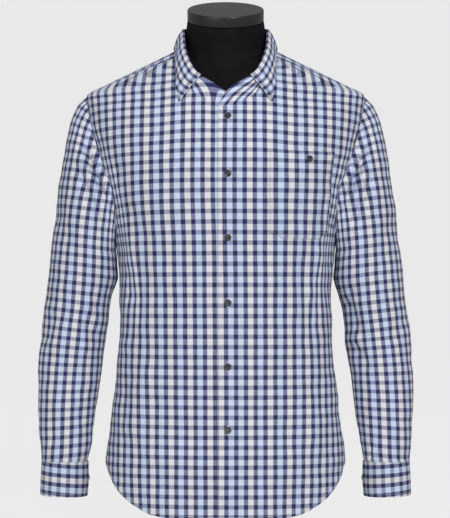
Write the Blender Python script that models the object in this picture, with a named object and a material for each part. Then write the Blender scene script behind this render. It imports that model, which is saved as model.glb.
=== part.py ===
"""A long-sleeved checked shirt, buttoned up on a limbless dress form.

Metres, +Z up. The front faces -Y and the wearer's left is +X. The origin is under the middle of the
stand's plate. Every cloth piece is a thin wall between an outer grid of points and the same grid moved in
by the cloth's thickness.
"""

import math

import bmesh
import bpy
import numpy as np

# --- Cloth and sewing -------------------------------------------------------------------------------
CLOTH = 0.0012          # wall of one cloth piece
SEAM = 0.0003           # space between two pieces where they are sewn together
NECK_SEAM = 0.0005      # the same along the neckline, whose pieces meet at a slant
LAY = 0.0008            # space under a piece that lies on a panel
UNDER = CLOTH + 0.0012  # how far the right front sinks to lie under the left front

# --- Heights that several pieces share --------------------------------------------------------------
STRAIGHT_Z = 0.380      # above this the rows of the panels are level, below it they bend to the hem
HEM_LEVEL = 0.100       # the section whose width spaces the columns at the hem
UNDERARM_Z = 0.490
YOKE_BACK_Z = 0.690     # seam between back and yoke
NECK_FRONT_Z = 0.700    # neck seam at the centre front
SHOULDER_Z = 0.7265     # tip of the shoulder, where the yoke's front seam meets the armhole
NECK_CORNER_Z = 0.787   # where the yoke's front seam meets the neck
LEFT_EDGE_X = -0.0114   # front edge of the left front, which laps over the right one
RIGHT_EDGE_X = 0.0165   # front edge of the right front, hidden below
SINK_START_X = -0.0340  # where the right front begins to sink under the left one
SINK_WIDTH = 0.0200

# --- Body of the shirt: level sections, each a rounded oval ------------------------------------------
# power is that of sine and cosine in a section: 1 is an ellipse, less is squarer, more is more pointed
BODY_COLUMNS = ("height", "half_width", "front", "back", "power")
BODY = (
    (0.040, 0.1890, 0.1290, 0.1210, 0.89),
    (0.140, 0.1915, 0.1270, 0.1220, 0.89),
    (0.190, 0.1860, 0.1220, 0.1190, 0.89),
    (0.230, 0.1815, 0.1180, 0.1150, 0.89),
    (0.300, 0.1735, 0.1140, 0.1070, 0.89),
    (0.342, 0.1704, 0.1130, 0.1030, 0.89),
    (0.400, 0.1696, 0.1140, 0.1010, 0.89),
    (0.440, 0.1712, 0.1165, 0.1040, 0.89),
    (0.466, 0.1735, 0.1190, 0.1080, 0.89),
    (0.490, 0.1765, 0.1210, 0.1120, 0.89),
    (0.560, 0.1920, 0.1270, 0.1200, 0.88),
    (0.610, 0.2040, 0.1290, 0.1240, 0.87),
    (0.660, 0.2150, 0.1240, 0.1235, 0.90),
    (0.700, 0.2210, 0.1110, 0.1170, 0.97),
    (0.7265, 0.2244, 0.0990, 0.1090, 1.08),
    (0.7475, 0.1890, 0.0850, 0.0990, 1.06),
    (0.7667, 0.1490, 0.0690, 0.0890, 0.96),
    (0.7870, 0.1080, 0.0480, 0.0810, 0.89),
    (0.8020, 0.0800, 0.0380, 0.0750, 0.89),
    (0.8200, 0.0600, 0.0320, 0.0670, 0.89),
)

# --- Hem: how high it runs at each angle from the centre front, in degrees ---------------------------
HEM_COLUMNS = ("angle", "height")
HEM = (
    (0, 0.0600),
    (15, 0.0612),
    (33, 0.0668),
    (49, 0.0840),
    (60, 0.1010),
    (70, 0.1190),
    (80, 0.1380),
    (90, 0.1450),
    (100, 0.1370),
    (112, 0.1130),
    (124, 0.0870),
    (138, 0.0650),
    (158, 0.0520),
    (180, 0.0480),
)

# --- Armhole: half-width at which its seam runs on the front and on the back -------------------------
ARMHOLE_COLUMNS = ("height", "front_x", "back_x")
ARMHOLE = (
    (0.490, 0.1765, 0.1765),
    (0.520, 0.1745, 0.1790),
    (0.562, 0.1775, 0.1860),
    (0.600, 0.1885, 0.1950),
    (0.638, 0.2020, 0.2040),
    (0.672, 0.2118, 0.2120),
    (0.704, 0.2190, 0.2185),
    (0.7265, 0.2244, 0.2244),
)

# --- Neckline on the left front, from the front edge to the corner with the yoke --------------------
NECKLINE_COLUMNS = ("height", "x")
NECKLINE = (
    (0.7000, -0.0114),
    (0.7053, 0.0100),
    (0.7110, 0.0265),
    (0.7188, 0.0435),
    (0.7265, 0.0525),
    (0.7386, 0.0605),
    (0.7507, 0.0670),
    (0.7628, 0.0720),
    (0.7749, 0.0755),
    (0.7870, 0.0780),
)
SEAM_SLANT = 2.3        # the yoke's front seam crosses the rows at a slant, so a step along a row is longer
YOKE_SETBACK = 0.0300   # how far inside the ridge of the shoulder the yoke's front seam ends at the neck
YOKE_NECK_COLUMNS = ("angle", "height")         # the neckline on the yoke, round the neck in degrees
YOKE_NECK = (
    (43.0, 0.7870),
    (52.0, 0.7925),
    (62.0, 0.7970),
    (75.0, 0.8005),
    (90.0, 0.8025),
    (120.0, 0.8080),
    (150.0, 0.8140),
    (180.0, 0.8170),
)

# --- Sleeve: outer and inner point of each ring, its depth to each side, and its middle -------------
SLEEVE_COLUMNS = ("outer_x", "outer_z", "inner_x", "inner_z", "depth", "middle_y")
SLEEVE = (
    (0.2244, 0.7265, 0.1765, 0.4900, 0.052, 0.002),
    (0.2385, 0.7120, 0.1768, 0.4780, 0.062, 0.003),
    (0.2486, 0.6900, 0.1753, 0.4660, 0.066, 0.004),
    (0.2572, 0.6510, 0.1742, 0.4520, 0.068, 0.005),
    (0.2640, 0.6124, 0.1737, 0.4385, 0.068, 0.006),
    (0.2695, 0.5738, 0.1765, 0.4240, 0.067, 0.007),
    (0.2745, 0.5350, 0.1835, 0.4050, 0.065, 0.009),
    (0.2790, 0.4966, 0.1870, 0.3850, 0.063, 0.011),
    (0.2838, 0.4580, 0.1905, 0.3616, 0.061, 0.012),
    (0.2900, 0.4000, 0.1940, 0.3280, 0.059, 0.012),
    (0.2952, 0.3600, 0.1970, 0.3050, 0.057, 0.010),
    (0.2990, 0.3230, 0.2000, 0.2840, 0.054, 0.007),
    (0.3006, 0.2844, 0.2035, 0.2590, 0.051, 0.003),
    (0.3006, 0.2458, 0.2068, 0.2320, 0.048, -0.002),
    (0.2990, 0.2072, 0.2108, 0.2000, 0.045, -0.007),
    (0.2960, 0.1700, 0.2152, 0.1700, 0.042, -0.011),
    (0.2940, 0.1520, 0.2190, 0.1520, 0.039, -0.013),
    (0.2936, 0.1443, 0.2210, 0.1443, 0.037, -0.014),
)
ARMHOLE_REACH = 3.0             # rings over which the sleeve leaves the armhole's own shape
SLEEVE_HEAD_RINGS = (0.035, 0.35, 0.8, 1.4)
SLEEVE_HEAD_END = 2.1
FOLD_START_RINGS = 2.0          # rings over which the sleeve's folds begin and end
FOLD_STOP_RINGS = 1.5
PLACKET_TURN = math.radians(-118)
PLACKET_ROWS = 6
CUFF_COLUMNS = ("height", "outer_x", "inner_x", "drop")
CUFF = (
    (0.1440, 0.2936, 0.2210, 0.0000),
    (0.1160, 0.2948, 0.2210, 0.0004),
    (0.0890, 0.2958, 0.2226, 0.0012),
)
CUFF_DEPTH = 0.0370
CUFF_LAP = math.radians(32)     # how far the buttoned end of a cuff laps over the other
CUFF_END = math.radians(222)    # turn at which the lap ends, at the back of the wrist

# --- Folds, as seen from the front or the back: the line each runs along, its width and its depth ----
# the columns are x0, z0, x1, z1, width, depth
FOLD_ENDS = 3.0         # a fold fades over one part in this many of its length, at each end
FRONT_BLEND = 2.5       # how quickly front and back folds fade at the sides
BODY_FRONT_FOLDS = (
    (-0.183, 0.640, -0.146, 0.500, 0.0120, -0.0035),
    (-0.128, 0.540, -0.134, 0.330, 0.0090, -0.0030),
    (-0.152, 0.530, -0.158, 0.300, 0.0080, 0.0025),
    (-0.120, 0.330, -0.150, 0.150, 0.0160, 0.0025),
    (0.178, 0.640, 0.150, 0.500, 0.0120, -0.0035),
    (0.116, 0.480, 0.136, 0.330, 0.0090, -0.0030),
    (0.146, 0.530, 0.156, 0.310, 0.0080, 0.0025),
    (0.118, 0.300, 0.148, 0.140, 0.0160, 0.0025),
    (0.050, 0.300, 0.060, 0.100, 0.0200, -0.0020),
    (-0.060, 0.280, -0.070, 0.110, 0.0200, -0.0020),
)
BODY_BACK_FOLDS = (
    (-0.170, 0.640, -0.120, 0.480, 0.0140, -0.0040),
    (-0.125, 0.520, -0.110, 0.300, 0.0120, -0.0035),
    (-0.060, 0.560, -0.048, 0.300, 0.0150, 0.0030),
    (0.170, 0.630, 0.128, 0.470, 0.0140, -0.0040),
    (0.120, 0.500, 0.104, 0.280, 0.0120, -0.0035),
    (0.055, 0.600, 0.040, 0.330, 0.0150, 0.0030),
    (0.000, 0.450, 0.006, 0.140, 0.0180, -0.0030),
    (0.110, 0.260, 0.130, 0.110, 0.0180, 0.0030),
    (-0.105, 0.250, -0.128, 0.110, 0.0180, 0.0030),
)
RIGHT_SLEEVE_FRONT_FOLDS = (
    (0.228, 0.660, 0.184, 0.555, 0.0110, -0.0060),
    (0.246, 0.630, 0.190, 0.515, 0.0090, -0.0045),
    (0.232, 0.392, 0.202, 0.325, 0.0090, -0.0055),
    (0.272, 0.385, 0.290, 0.325, 0.0100, -0.0030),
    (0.254, 0.300, 0.230, 0.235, 0.0120, -0.0030),
    (0.275, 0.560, 0.240, 0.470, 0.0140, -0.0030),
)
LEFT_SLEEVE_FRONT_FOLDS = (
    (0.226, 0.655, 0.186, 0.550, 0.0110, -0.0060),
    (0.236, 0.610, 0.196, 0.505, 0.0090, -0.0045),
    (0.192, 0.410, 0.212, 0.335, 0.0100, -0.0055),
    (0.200, 0.338, 0.228, 0.285, 0.0090, -0.0050),
    (0.284, 0.380, 0.262, 0.325, 0.0110, -0.0025),
    (0.268, 0.540, 0.238, 0.450, 0.0140, -0.0030),
)
SLEEVE_BACK_FOLDS = (
    (0.236, 0.650, 0.196, 0.540, 0.0120, -0.0055),
    (0.262, 0.470, 0.214, 0.420, 0.0110, -0.0050),
    (0.270, 0.420, 0.214, 0.370, 0.0110, -0.0055),
    (0.274, 0.370, 0.226, 0.330, 0.0110, -0.0045),
    (0.244, 0.290, 0.250, 0.190, 0.0110, 0.0035),
)

# --- Collar ------------------------------------------------------------------------------------------
STAND_COLUMNS = ("place", "rise", "inward")     # place: 0 at the front end, 1 at the centre back
STAND = (
    (0.00, 0.0195, 0.0050),
    (0.06, 0.0290, 0.0085),
    (0.14, 0.0325, 0.0105),
    (0.25, 0.0310, 0.0110),
    (0.50, 0.0315, 0.0120),
    (0.75, 0.0330, 0.0090),
    (1.00, 0.0345, 0.0055),
)
STAND_END_LEAN = 0.0090     # how far the round end of the stand leans back along the neck
LEAF_START = 3              # column of the stand at which the leaf begins
EDGE_COLUMNS = ("place", "angle", "height")     # outer edge of the leaf on the body
EDGE = (
    (0.00, 19.2, 0.7080),
    (0.12, 23.2, 0.7360),
    (0.26, 32.5, 0.7690),
    (0.38, 50.0, 0.7905),
    (0.48, 80.0, 0.7998),
    (0.65, 121.0, 0.8050),
    (0.82, 151.0, 0.8070),
    (1.00, 180.0, 0.8080),
)
LEAF_ROLL = 0.0030          # how far the leaf stands off the stand just below its fold
LEAF_BOW = 0.0022           # how far its middle swells out
LEAF_CLEAR = 0.0014         # space between the leaf's outer edge and the body
NECK_MIDDLE_Y = 0.008

# --- Pocket, on the left front -----------------------------------------------------------------------
POCKET_LEFT_X = 0.0668
POCKET_WIDTH = 0.1120
POCKET_TOP_Z = 0.6320
POCKET_SIDE_Z = 0.5080      # foot of its straight sides
POCKET_FOOT_Z = 0.4955
POCKET_CORNER = 0.22        # part of the width that each slanted corner takes

# --- Buttons -----------------------------------------------------------------------------------------
BUTTON_X = 0.0035
BUTTON_Z = (0.6860, 0.5960, 0.4970, 0.3960, 0.2970, 0.1995)
BUTTON_RADIUS = 0.0054
BUTTON_THICK = 0.0026
BUTTON_GAP = 0.0004
POCKET_BUTTON = (0.1293, 0.6198)
CUFF_BUTTON_Z = 0.1160

# --- Dress form --------------------------------------------------------------------------------------
FORM_COLUMNS = ("height", "half_width", "front", "back", "power", "tilt")
FORM = (
    (0.1250, 0.1330, 0.0800, 0.0800, 0.89, 0),
    (0.1290, 0.1420, 0.0890, 0.0880, 0.89, 0),
    (0.1400, 0.1500, 0.0960, 0.0950, 0.89, 0),
    (0.2000, 0.1560, 0.1010, 0.1000, 0.89, 0),
    (0.2600, 0.1550, 0.1000, 0.0980, 0.89, 0),
    (0.3300, 0.1490, 0.0950, 0.0890, 0.89, 0),
    (0.4000, 0.1470, 0.0940, 0.0850, 0.89, 0),
    (0.4600, 0.1500, 0.1000, 0.0890, 0.89, 0),
    (0.5200, 0.1570, 0.1080, 0.0990, 0.89, 0),
    (0.5800, 0.1640, 0.1140, 0.1070, 0.89, 0),
    (0.6300, 0.1710, 0.1150, 0.1110, 0.89, 0),
    (0.6700, 0.1790, 0.1100, 0.1110, 0.89, 0),
    (0.7000, 0.1850, 0.0980, 0.1060, 0.97, 0),
    (0.7200, 0.1880, 0.0900, 0.1000, 1.02, 0),
    (0.7350, 0.1860, 0.0820, 0.0940, 1.10, 0),
    (0.7475, 0.1780, 0.0755, 0.0890, 1.12, 0),
    (0.7575, 0.1595, 0.0700, 0.0850, 1.12, 0),
    (0.7667, 0.1412, 0.0640, 0.0800, 1.10, 0),
    (0.7770, 0.1232, 0.0610, 0.0750, 1.25, 1),
    (0.7870, 0.1030, 0.0585, 0.0700, 1.35, 3),
    (0.7960, 0.0835, 0.0575, 0.0655, 1.25, 5),
    (0.8060, 0.0708, 0.0580, 0.0615, 1.08, 8),
    (0.8200, 0.0665, 0.0595, 0.0590, 1.00, 12),
    (0.8360, 0.0635, 0.0605, 0.0580, 1.00, 17),
    (0.8500, 0.0615, 0.0608, 0.0590, 1.00, 20),
)
CAP_TILT = math.radians(20)
CAP_RADIUS = 0.0615
CAP_THICK = 0.0180
CAP_MIDDLE = (0.0, 0.0010, 0.8504)      # middle of the cap's underside
CAP_ROUND = 0.0012
STAND_PLATE_RADIUS = 0.1500
STAND_PLATE_THICK = 0.0080
STAND_PLATE_ROUND = 0.0020
STAND_POST_RADIUS = 0.0200
STAND_COLLAR_RADIUS = 0.0450
STAND_COLLAR_THICK = 0.0100

# --- How finely the solids are divided ----------------------------------------------------------------
FRONT_ACROSS = 11
BACK_ACROSS = 20
YOKE_ACROSS = 22
HEM_ROWS = 7
WAIST_ROWS = 4
ARM_ROWS = 8
YOKE_ROWS = 5
SLEEVE_ROWS = 21
CUFF_ACROSS = 28
POCKET_ACROSS = 9
POCKET_ROWS = 9
BUTTON_SIDES = 12
CAP_SIDES = 40
PLATE_SIDES = 32
FORM_ACROSS = 28

# --- Colours: red, green, blue, roughness --------------------------------------------------------------
CHECKED = (0.42, 0.46, 0.62, 0.85)
BUTTON_GREY = (0.10, 0.10, 0.10, 0.30)
FORM_BLACK = (0.012, 0.012, 0.013, 0.60)
CAP_BLACK = (0.05, 0.05, 0.05, 0.35)


# ===== Tables and curves ===============================================================================
def table(columns, rows):
    """The rows of a table as one array for each named column."""
    return {name: np.array([row[k] for row in rows], float) for k, name in enumerate(columns)}


def read(tab, along, column, at):
    """Reads a column on a smooth line through the table's rows, with no overshoot between them."""
    xs = tab[along]
    ys = tab[column]
    at = np.asarray(at, float)
    step = np.diff(xs)
    slope = np.diff(ys) / step
    lean = np.zeros(len(xs))
    lean[0] = slope[0]
    lean[-1] = slope[-1]
    for k in range(1, len(xs) - 1):
        if slope[k - 1] * slope[k] > 0:
            before = 2 * step[k] + step[k - 1]
            after = step[k] + 2 * step[k - 1]
            lean[k] = (before + after) / (before / slope[k - 1] + after / slope[k])
    k = np.clip(np.searchsorted(xs, at) - 1, 0, len(step) - 1)
    f = np.clip((at - xs[k]) / step[k], 0, 1)
    ends = ys[k] * (1 + 2 * f) * (1 - f) ** 2 + ys[k + 1] * (3 - 2 * f) * f * f
    return ends + step[k] * (lean[k] * f * (1 - f) ** 2 - lean[k + 1] * f * f * (1 - f))


def ease(f):
    """Runs smoothly from 0 at f = 0 to 1 at f = 1."""
    f = np.clip(f, 0, 1)
    return f * f * (3 - 2 * f)


def points(x, y, z):
    """Joins three arrays into one array of points."""
    return np.stack(np.broadcast_arrays(x, y, z), axis=-1)


def unit(v):
    """The same directions with length one."""
    return v / np.maximum(np.linalg.norm(v, axis=-1, keepdims=True), 1e-12)


BODY_TABLE = table(BODY_COLUMNS, BODY)
HEM_TABLE = table(HEM_COLUMNS, HEM)
ARMHOLE_TABLE = table(ARMHOLE_COLUMNS, ARMHOLE)
NECKLINE_TABLE = table(NECKLINE_COLUMNS, NECKLINE)
YOKE_NECK_TABLE = table(YOKE_NECK_COLUMNS, YOKE_NECK)
SLEEVE_TABLE = table(SLEEVE_COLUMNS, SLEEVE)
SLEEVE_TABLE["ring"] = np.arange(len(SLEEVE), dtype=float)
CUFF_TABLE = table(CUFF_COLUMNS, CUFF[::-1])
STAND_TABLE = table(STAND_COLUMNS, STAND)
EDGE_TABLE = table(EDGE_COLUMNS, EDGE)


# ===== Folds ===========================================================================================
def fold_depth(rows, x, z):
    """How far the folds move the cloth out (or in, below zero) at places seen from the front or back."""
    moved = np.zeros(np.broadcast(x, z).shape)
    for x0, z0, x1, z1, width, depth in rows:
        length = math.hypot(x1 - x0, z1 - z0)
        run_x = (x1 - x0) / length
        run_z = (z1 - z0) / length
        along = ((x - x0) * run_x + (z - z0) * run_z) / length
        across = (x - x0) * run_z - (z - z0) * run_x
        ends = ease(along * FOLD_ENDS) * ease((1 - along) * FOLD_ENDS)
        moved = moved + depth * ends * np.exp(-((across / width) ** 2))
    return moved


# ===== The body's skin =================================================================================
def oval(angle, half, front, back, power):
    """A point of a level section, at an angle from the centre front towards +X."""
    s = np.sin(angle)
    c = np.cos(angle)
    depth = np.where(c > 0, front, back)
    x = half * np.sign(s) * np.abs(s) ** power
    y = -depth * np.sign(c) * np.abs(c) ** power
    return x, y


def body_plain(angle, height):
    """The body without its folds."""
    half = read(BODY_TABLE, "height", "half_width", height)
    front = read(BODY_TABLE, "height", "front", height)
    back = read(BODY_TABLE, "height", "back", height)
    x, y = oval(angle, half, front, back, read(BODY_TABLE, "height", "power", height))
    return points(x, y, height)


def normals(surface, u, v, du, dv):
    """Outward normals of a surface given as a function of two arrays."""
    along_u = surface(u + du, v) - surface(u - du, v)
    along_v = surface(u, v + dv) - surface(u, v - dv)
    return unit(np.cross(along_u, along_v))


def body(angle, height):
    """The outer face of the body with its folds."""
    plain = body_plain(angle, height)
    out = normals(body_plain, angle, height, 0.01, 0.001)
    front = ease(np.cos(angle) * FRONT_BLEND)
    back = ease(-np.cos(angle) * FRONT_BLEND)
    moved = front * fold_depth(BODY_FRONT_FOLDS, plain[..., 0], plain[..., 2])
    moved = moved + back * fold_depth(BODY_BACK_FOLDS, plain[..., 0], plain[..., 2])
    return plain + out * moved[..., None]


def body_normals(angle, height):
    return normals(body, angle, height, 0.01, 0.001)


def angle_at_x(x, height, rear=False):
    """The angle at which a level section has this half-width, on its front or on its rear."""
    half = read(BODY_TABLE, "height", "half_width", height)
    share = np.clip(np.abs(x) / half, 0, 1) ** (1 / read(BODY_TABLE, "height", "power", height))
    angle = np.sign(x) * np.arcsin(share)
    return np.sign(x) * math.pi - angle if rear else angle


def spread(start, end, height, count):
    """Angles from start to end that are evenly spaced along the section at this height."""
    fine = np.linspace(start, end, 161)
    line = body_plain(fine, np.full(fine.shape, height))
    run = np.concatenate([[0.0], np.cumsum(np.linalg.norm(np.diff(line, axis=0), axis=1))])
    return np.interp(np.linspace(0, run[-1], count + 1), run, fine)


def step_angle(angle, height, distance):
    """The angle a short distance further along the section."""
    here = body_plain(np.array([angle - 0.01, angle + 0.01]), np.full(2, height))
    return angle + 0.02 * distance / np.linalg.norm(here[1] - here[0])


def hem_height(angle):
    return read(HEM_TABLE, "angle", "height", np.degrees(np.abs(angle)))


# ===== Building solids =================================================================================
def finish_material(name, colour):
    mat = bpy.data.materials.new(name)
    mat.use_nodes = True
    shader = mat.node_tree.nodes["Principled BSDF"]
    shader.inputs["Base Color"].default_value = (*colour[:3], 1)
    shader.inputs["Roughness"].default_value = colour[3]
    shader.inputs["Metallic"].default_value = 0
    mat.diffuse_color = (*colour[:3], 1)
    return mat


def add_solid(name, verts, faces, colour, smooth_angle=50):
    """Makes one closed body of points and faces, with its faces turned outwards."""
    mesh = bpy.data.meshes.new(name)
    mesh.from_pydata([tuple(map(float, v)) for v in verts], [], faces)
    bm = bmesh.new()
    bm.from_mesh(mesh)
    bmesh.ops.recalc_face_normals(bm, faces=bm.faces)
    bm.to_mesh(mesh)
    bm.free()
    mesh.shade_smooth()
    mesh.set_sharp_from_angle(angle=math.radians(smooth_angle))
    mesh.materials.append(finish_material(name, colour))
    ob = bpy.data.objects.new(name, mesh)
    bpy.context.scene.collection.objects.link(ob)
    return ob


def grid_faces(rows, cols, start, round_=False, flip=False):
    """Four-sided faces between the points of a grid that is stored row by row."""
    faces = []
    for r in range(rows - 1):
        for c in range(cols if round_ else cols - 1):
            d = (c + 1) % cols
            quad = (start + r * cols + c, start + r * cols + d,
                    start + (r + 1) * cols + d, start + (r + 1) * cols + c)
            faces.append((quad[0], quad[3], quad[2], quad[1]) if flip else quad)
    return faces


def add_wall(name, outer, inner, colour, round_=False):
    """A wall of cloth between two grids of the same shape, open or closed round."""
    rows, cols = outer.shape[:2]
    count = rows * cols
    faces = grid_faces(rows, cols, 0, round_) + grid_faces(rows, cols, count, round_, flip=True)
    for c in range(cols if round_ else cols - 1):
        d = (c + 1) % cols
        faces.append((c, d, count + d, count + c))
        top = (rows - 1) * cols
        faces.append((top + d, top + c, count + top + c, count + top + d))
    if not round_:
        for r in range(rows - 1):
            a = r * cols
            b = (r + 1) * cols
            faces.append((b, a, count + a, count + b))
            faces.append((a + cols - 1, b + cols - 1, count + b + cols - 1, count + a + cols - 1))
    verts = np.concatenate([outer.reshape(-1, 3), inner.reshape(-1, 3)])
    return add_solid(name, verts, faces, colour)


def add_rings(name, rings, colour, smooth_angle=50):
    """A solid body through closed rings, shut at both ends by flat faces."""
    rows, cols = rings.shape[:2]
    faces = grid_faces(rows, cols, 0, round_=True)
    faces.append(tuple(range(cols))[::-1])
    faces.append(tuple((rows - 1) * cols + c for c in range(cols)))
    return add_solid(name, rings.reshape(-1, 3), faces, colour, smooth_angle)


def add_turned(name, profile, middle, axis, sides, colour):
    """A round body turned from (radius, height) points about an axis through its middle."""
    axis = unit(np.asarray(axis, float))
    helper = np.array([0.0, 0.0, 1.0]) if abs(axis[2]) < 0.9 else np.array([0.0, 1.0, 0.0])
    side = unit(np.cross(helper, axis))
    other = np.cross(axis, side)
    turn = np.linspace(0, 2 * math.pi, sides, endpoint=False)
    circle = np.cos(turn)[:, None] * side + np.sin(turn)[:, None] * other
    rings = np.array([np.asarray(middle) + radius * circle + height * axis for radius, height in profile])
    return add_rings(name, rings, colour, 40)


def add_panel(name, angle, height, colour, lift=0.0, thick=CLOTH):
    """A cloth panel on the body's skin; lift moves it out. Returns its outer points and their normals."""
    skin = body(angle, height)
    out = body_normals(angle, height)
    lift = np.broadcast_to(lift, angle.shape)[..., None]
    outer = skin + out * lift
    add_wall(name, outer, outer - out * thick, colour)
    return outer, out


# ===== Fronts, back and yoke ===========================================================================
def low_rows(start_of, end_of, across):
    """Angles and heights of the rows from the hem to the underarm between two edges."""
    angles = []
    heights = []
    for k in range(HEM_ROWS):
        f = k / HEM_ROWS
        level = HEM_LEVEL + (STRAIGHT_Z - HEM_LEVEL) * f
        row = spread(start_of(level), end_of(level), level, across)
        angles.append(row)
        heights.append(hem_height(row) + (STRAIGHT_Z - hem_height(row)) * f)
    for k in range(WAIST_ROWS):
        level = STRAIGHT_Z + (UNDERARM_Z - STRAIGHT_Z) * k / WAIST_ROWS
        angles.append(spread(start_of(level), end_of(level), level, across))
        heights.append(np.full(across + 1, level))
    return angles, heights


def front_levels():
    """Heights of the front's rows from the underarm up to the neck corner."""
    arm = list(np.linspace(UNDERARM_Z, NECK_FRONT_Z, ARM_ROWS + 1))
    return arm + list(NECKLINE_TABLE["height"][1:])


def yoke_seam_x(height):
    """Half-width of the yoke's front seam, which leaves the ridge of the shoulder towards the neck."""
    share = (height - SHOULDER_Z) / (NECK_CORNER_Z - SHOULDER_Z)
    return read(BODY_TABLE, "height", "half_width", height) - YOKE_SETBACK * share


def front_outer_angle(level):
    """Angle of a front's outer edge: side seam, armhole or yoke seam."""
    if level < UNDERARM_Z:
        return step_angle(math.pi / 2, level, -SEAM / 2)
    if level < SHOULDER_Z:
        return float(angle_at_x(read(ARMHOLE_TABLE, "height", "front_x", level), level))
    return float(angle_at_x(yoke_seam_x(level), level))


def front_inner_angle(level, edge_x):
    """Angle of a front's inner edge: the buttoned edge, then the neckline."""
    x = edge_x
    if level > NECK_FRONT_Z + 1e-6:
        x = float(read(NECKLINE_TABLE, "height", "x", level))
    return float(angle_at_x(x, level))


def front_grid(edge_x):
    """Angles and heights of the left front, and of the right one before it is mirrored."""
    angles, heights = low_rows(lambda z: front_inner_angle(z, edge_x), front_outer_angle, FRONT_ACROSS)
    for level in front_levels():
        row = spread(front_inner_angle(level, edge_x), front_outer_angle(level), level, FRONT_ACROSS)
        angles.append(row)
        heights.append(np.full(FRONT_ACROSS + 1, level))
    return np.array(angles), np.array(heights)


def under_lap(x):
    """How far the right front sinks below the left one, at each place across it."""
    return -UNDER * ease((x - SINK_START_X) / SINK_WIDTH)


def build_fronts():
    """Both fronts, the right one below the left."""
    angle, height = front_grid(LEFT_EDGE_X)
    left = add_panel("front_left", angle, height, CHECKED)
    angle, height = front_grid(-RIGHT_EDGE_X)
    sink = under_lap(body_plain(-angle, height)[..., 0])
    return left, add_panel("front_right", -angle, height, CHECKED, sink)


def back_outer_angle(level):
    """Angle of the back's and the yoke's outer edge: side seam, then armhole."""
    if level < UNDERARM_Z:
        return step_angle(math.pi / 2, level, SEAM / 2)
    x = float(read(ARMHOLE_TABLE, "height", "back_x", level))
    return float(angle_at_x(x, level, rear=True))


def build_back():
    """The back, from side to side."""
    angles, heights = low_rows(back_outer_angle, lambda z: 2 * math.pi - back_outer_angle(z), BACK_ACROSS)
    for level in np.linspace(UNDERARM_Z, YOKE_BACK_Z - SEAM / 2, ARM_ROWS + 1):
        first = back_outer_angle(level)
        angles.append(spread(first, 2 * math.pi - first, level, BACK_ACROSS))
        heights.append(np.full(BACK_ACROSS + 1, level))
    angle = np.array(angles)
    angle = np.where(angle > math.pi, angle - 2 * math.pi, angle)
    add_panel("back", angle, np.array(heights), CHECKED)


def yoke_levels():
    """Heights at which the yoke's rows leave the armhole."""
    return (YOKE_BACK_Z + SEAM / 2, (YOKE_BACK_Z + SHOULDER_Z) / 2, SHOULDER_Z)


def build_yoke():
    """The yoke, from the left shoulder round the back of the neck to the right one."""
    angles = []
    heights = []
    seam_step = SEAM * SEAM_SLANT
    for level in yoke_levels():
        first = back_outer_angle(level)
        if level >= SHOULDER_Z:
            first = step_angle(math.pi / 2, level, seam_step)
        angles.append(spread(first, 2 * math.pi - first, level, YOKE_ACROSS))
        heights.append(np.full(YOKE_ACROSS + 1, level))
    for k in range(1, YOKE_ROWS + 1):
        low = SHOULDER_Z + (NECK_CORNER_Z - SHOULDER_Z) * k / YOKE_ROWS
        first = step_angle(front_outer_angle(low), low, seam_step)
        angles.append(spread(first, 2 * math.pi - first, low, YOKE_ACROSS))
    around = np.degrees(np.minimum(angles[-1], 2 * math.pi - angles[-1]))
    neck = read(YOKE_NECK_TABLE, "angle", "height", around)
    for k in range(1, YOKE_ROWS + 1):
        heights.append(SHOULDER_Z + (neck - SHOULDER_Z) * k / YOKE_ROWS)
    angle = np.array(angles)
    angle = np.where(angle > math.pi, angle - 2 * math.pi, angle)
    return add_panel("yoke", angle, np.array(heights), CHECKED)


# ===== Sleeves and cuffs ===============================================================================
def armhole_loop(side):
    """Points of the armhole from the underarm up the front, over the shoulder and down the back, each
    with its turn round the sleeve: half a turn at the underarm, none at the shoulder."""
    front = [level for level in front_levels() if level < SHOULDER_Z - 1e-6]
    back = list(np.linspace(UNDERARM_Z, YOKE_BACK_Z - SEAM / 2, ARM_ROWS + 1)) + [yoke_levels()[1]]
    rise = [front_outer_angle(level) for level in front[1:]]
    fall = [back_outer_angle(level) for level in back[1:]]
    angles = np.array([math.pi / 2] + rise + [math.pi / 2] + fall[::-1])
    levels = np.array(front + [SHOULDER_Z] + back[1:][::-1])
    loop = body(side * angles, levels)
    run = np.linalg.norm(np.diff(np.vstack([loop, loop[:1]]), axis=0), axis=1)
    top = len(front)
    up = np.concatenate([[0], np.cumsum(run[:top])])
    down = np.concatenate([[0], np.cumsum(run[top:])])
    turn = np.concatenate([math.pi * (1 - up / up[-1]), -math.pi * down[1:-1] / down[-1]])
    return loop, turn


def sleeve_ring(turn, ring):
    """A point of the plain sleeve on the +X side."""
    value = {name: read(SLEEVE_TABLE, "ring", name, ring) for name in SLEEVE_COLUMNS}
    across = np.cos(turn)
    x = (value["outer_x"] + value["inner_x"]) / 2 + (value["outer_x"] - value["inner_x"]) / 2 * across
    z = (value["outer_z"] + value["inner_z"]) / 2 + (value["outer_z"] - value["inner_z"]) / 2 * across
    y = value["middle_y"] - value["depth"] * np.sin(turn)
    return points(x, y, z)


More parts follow.
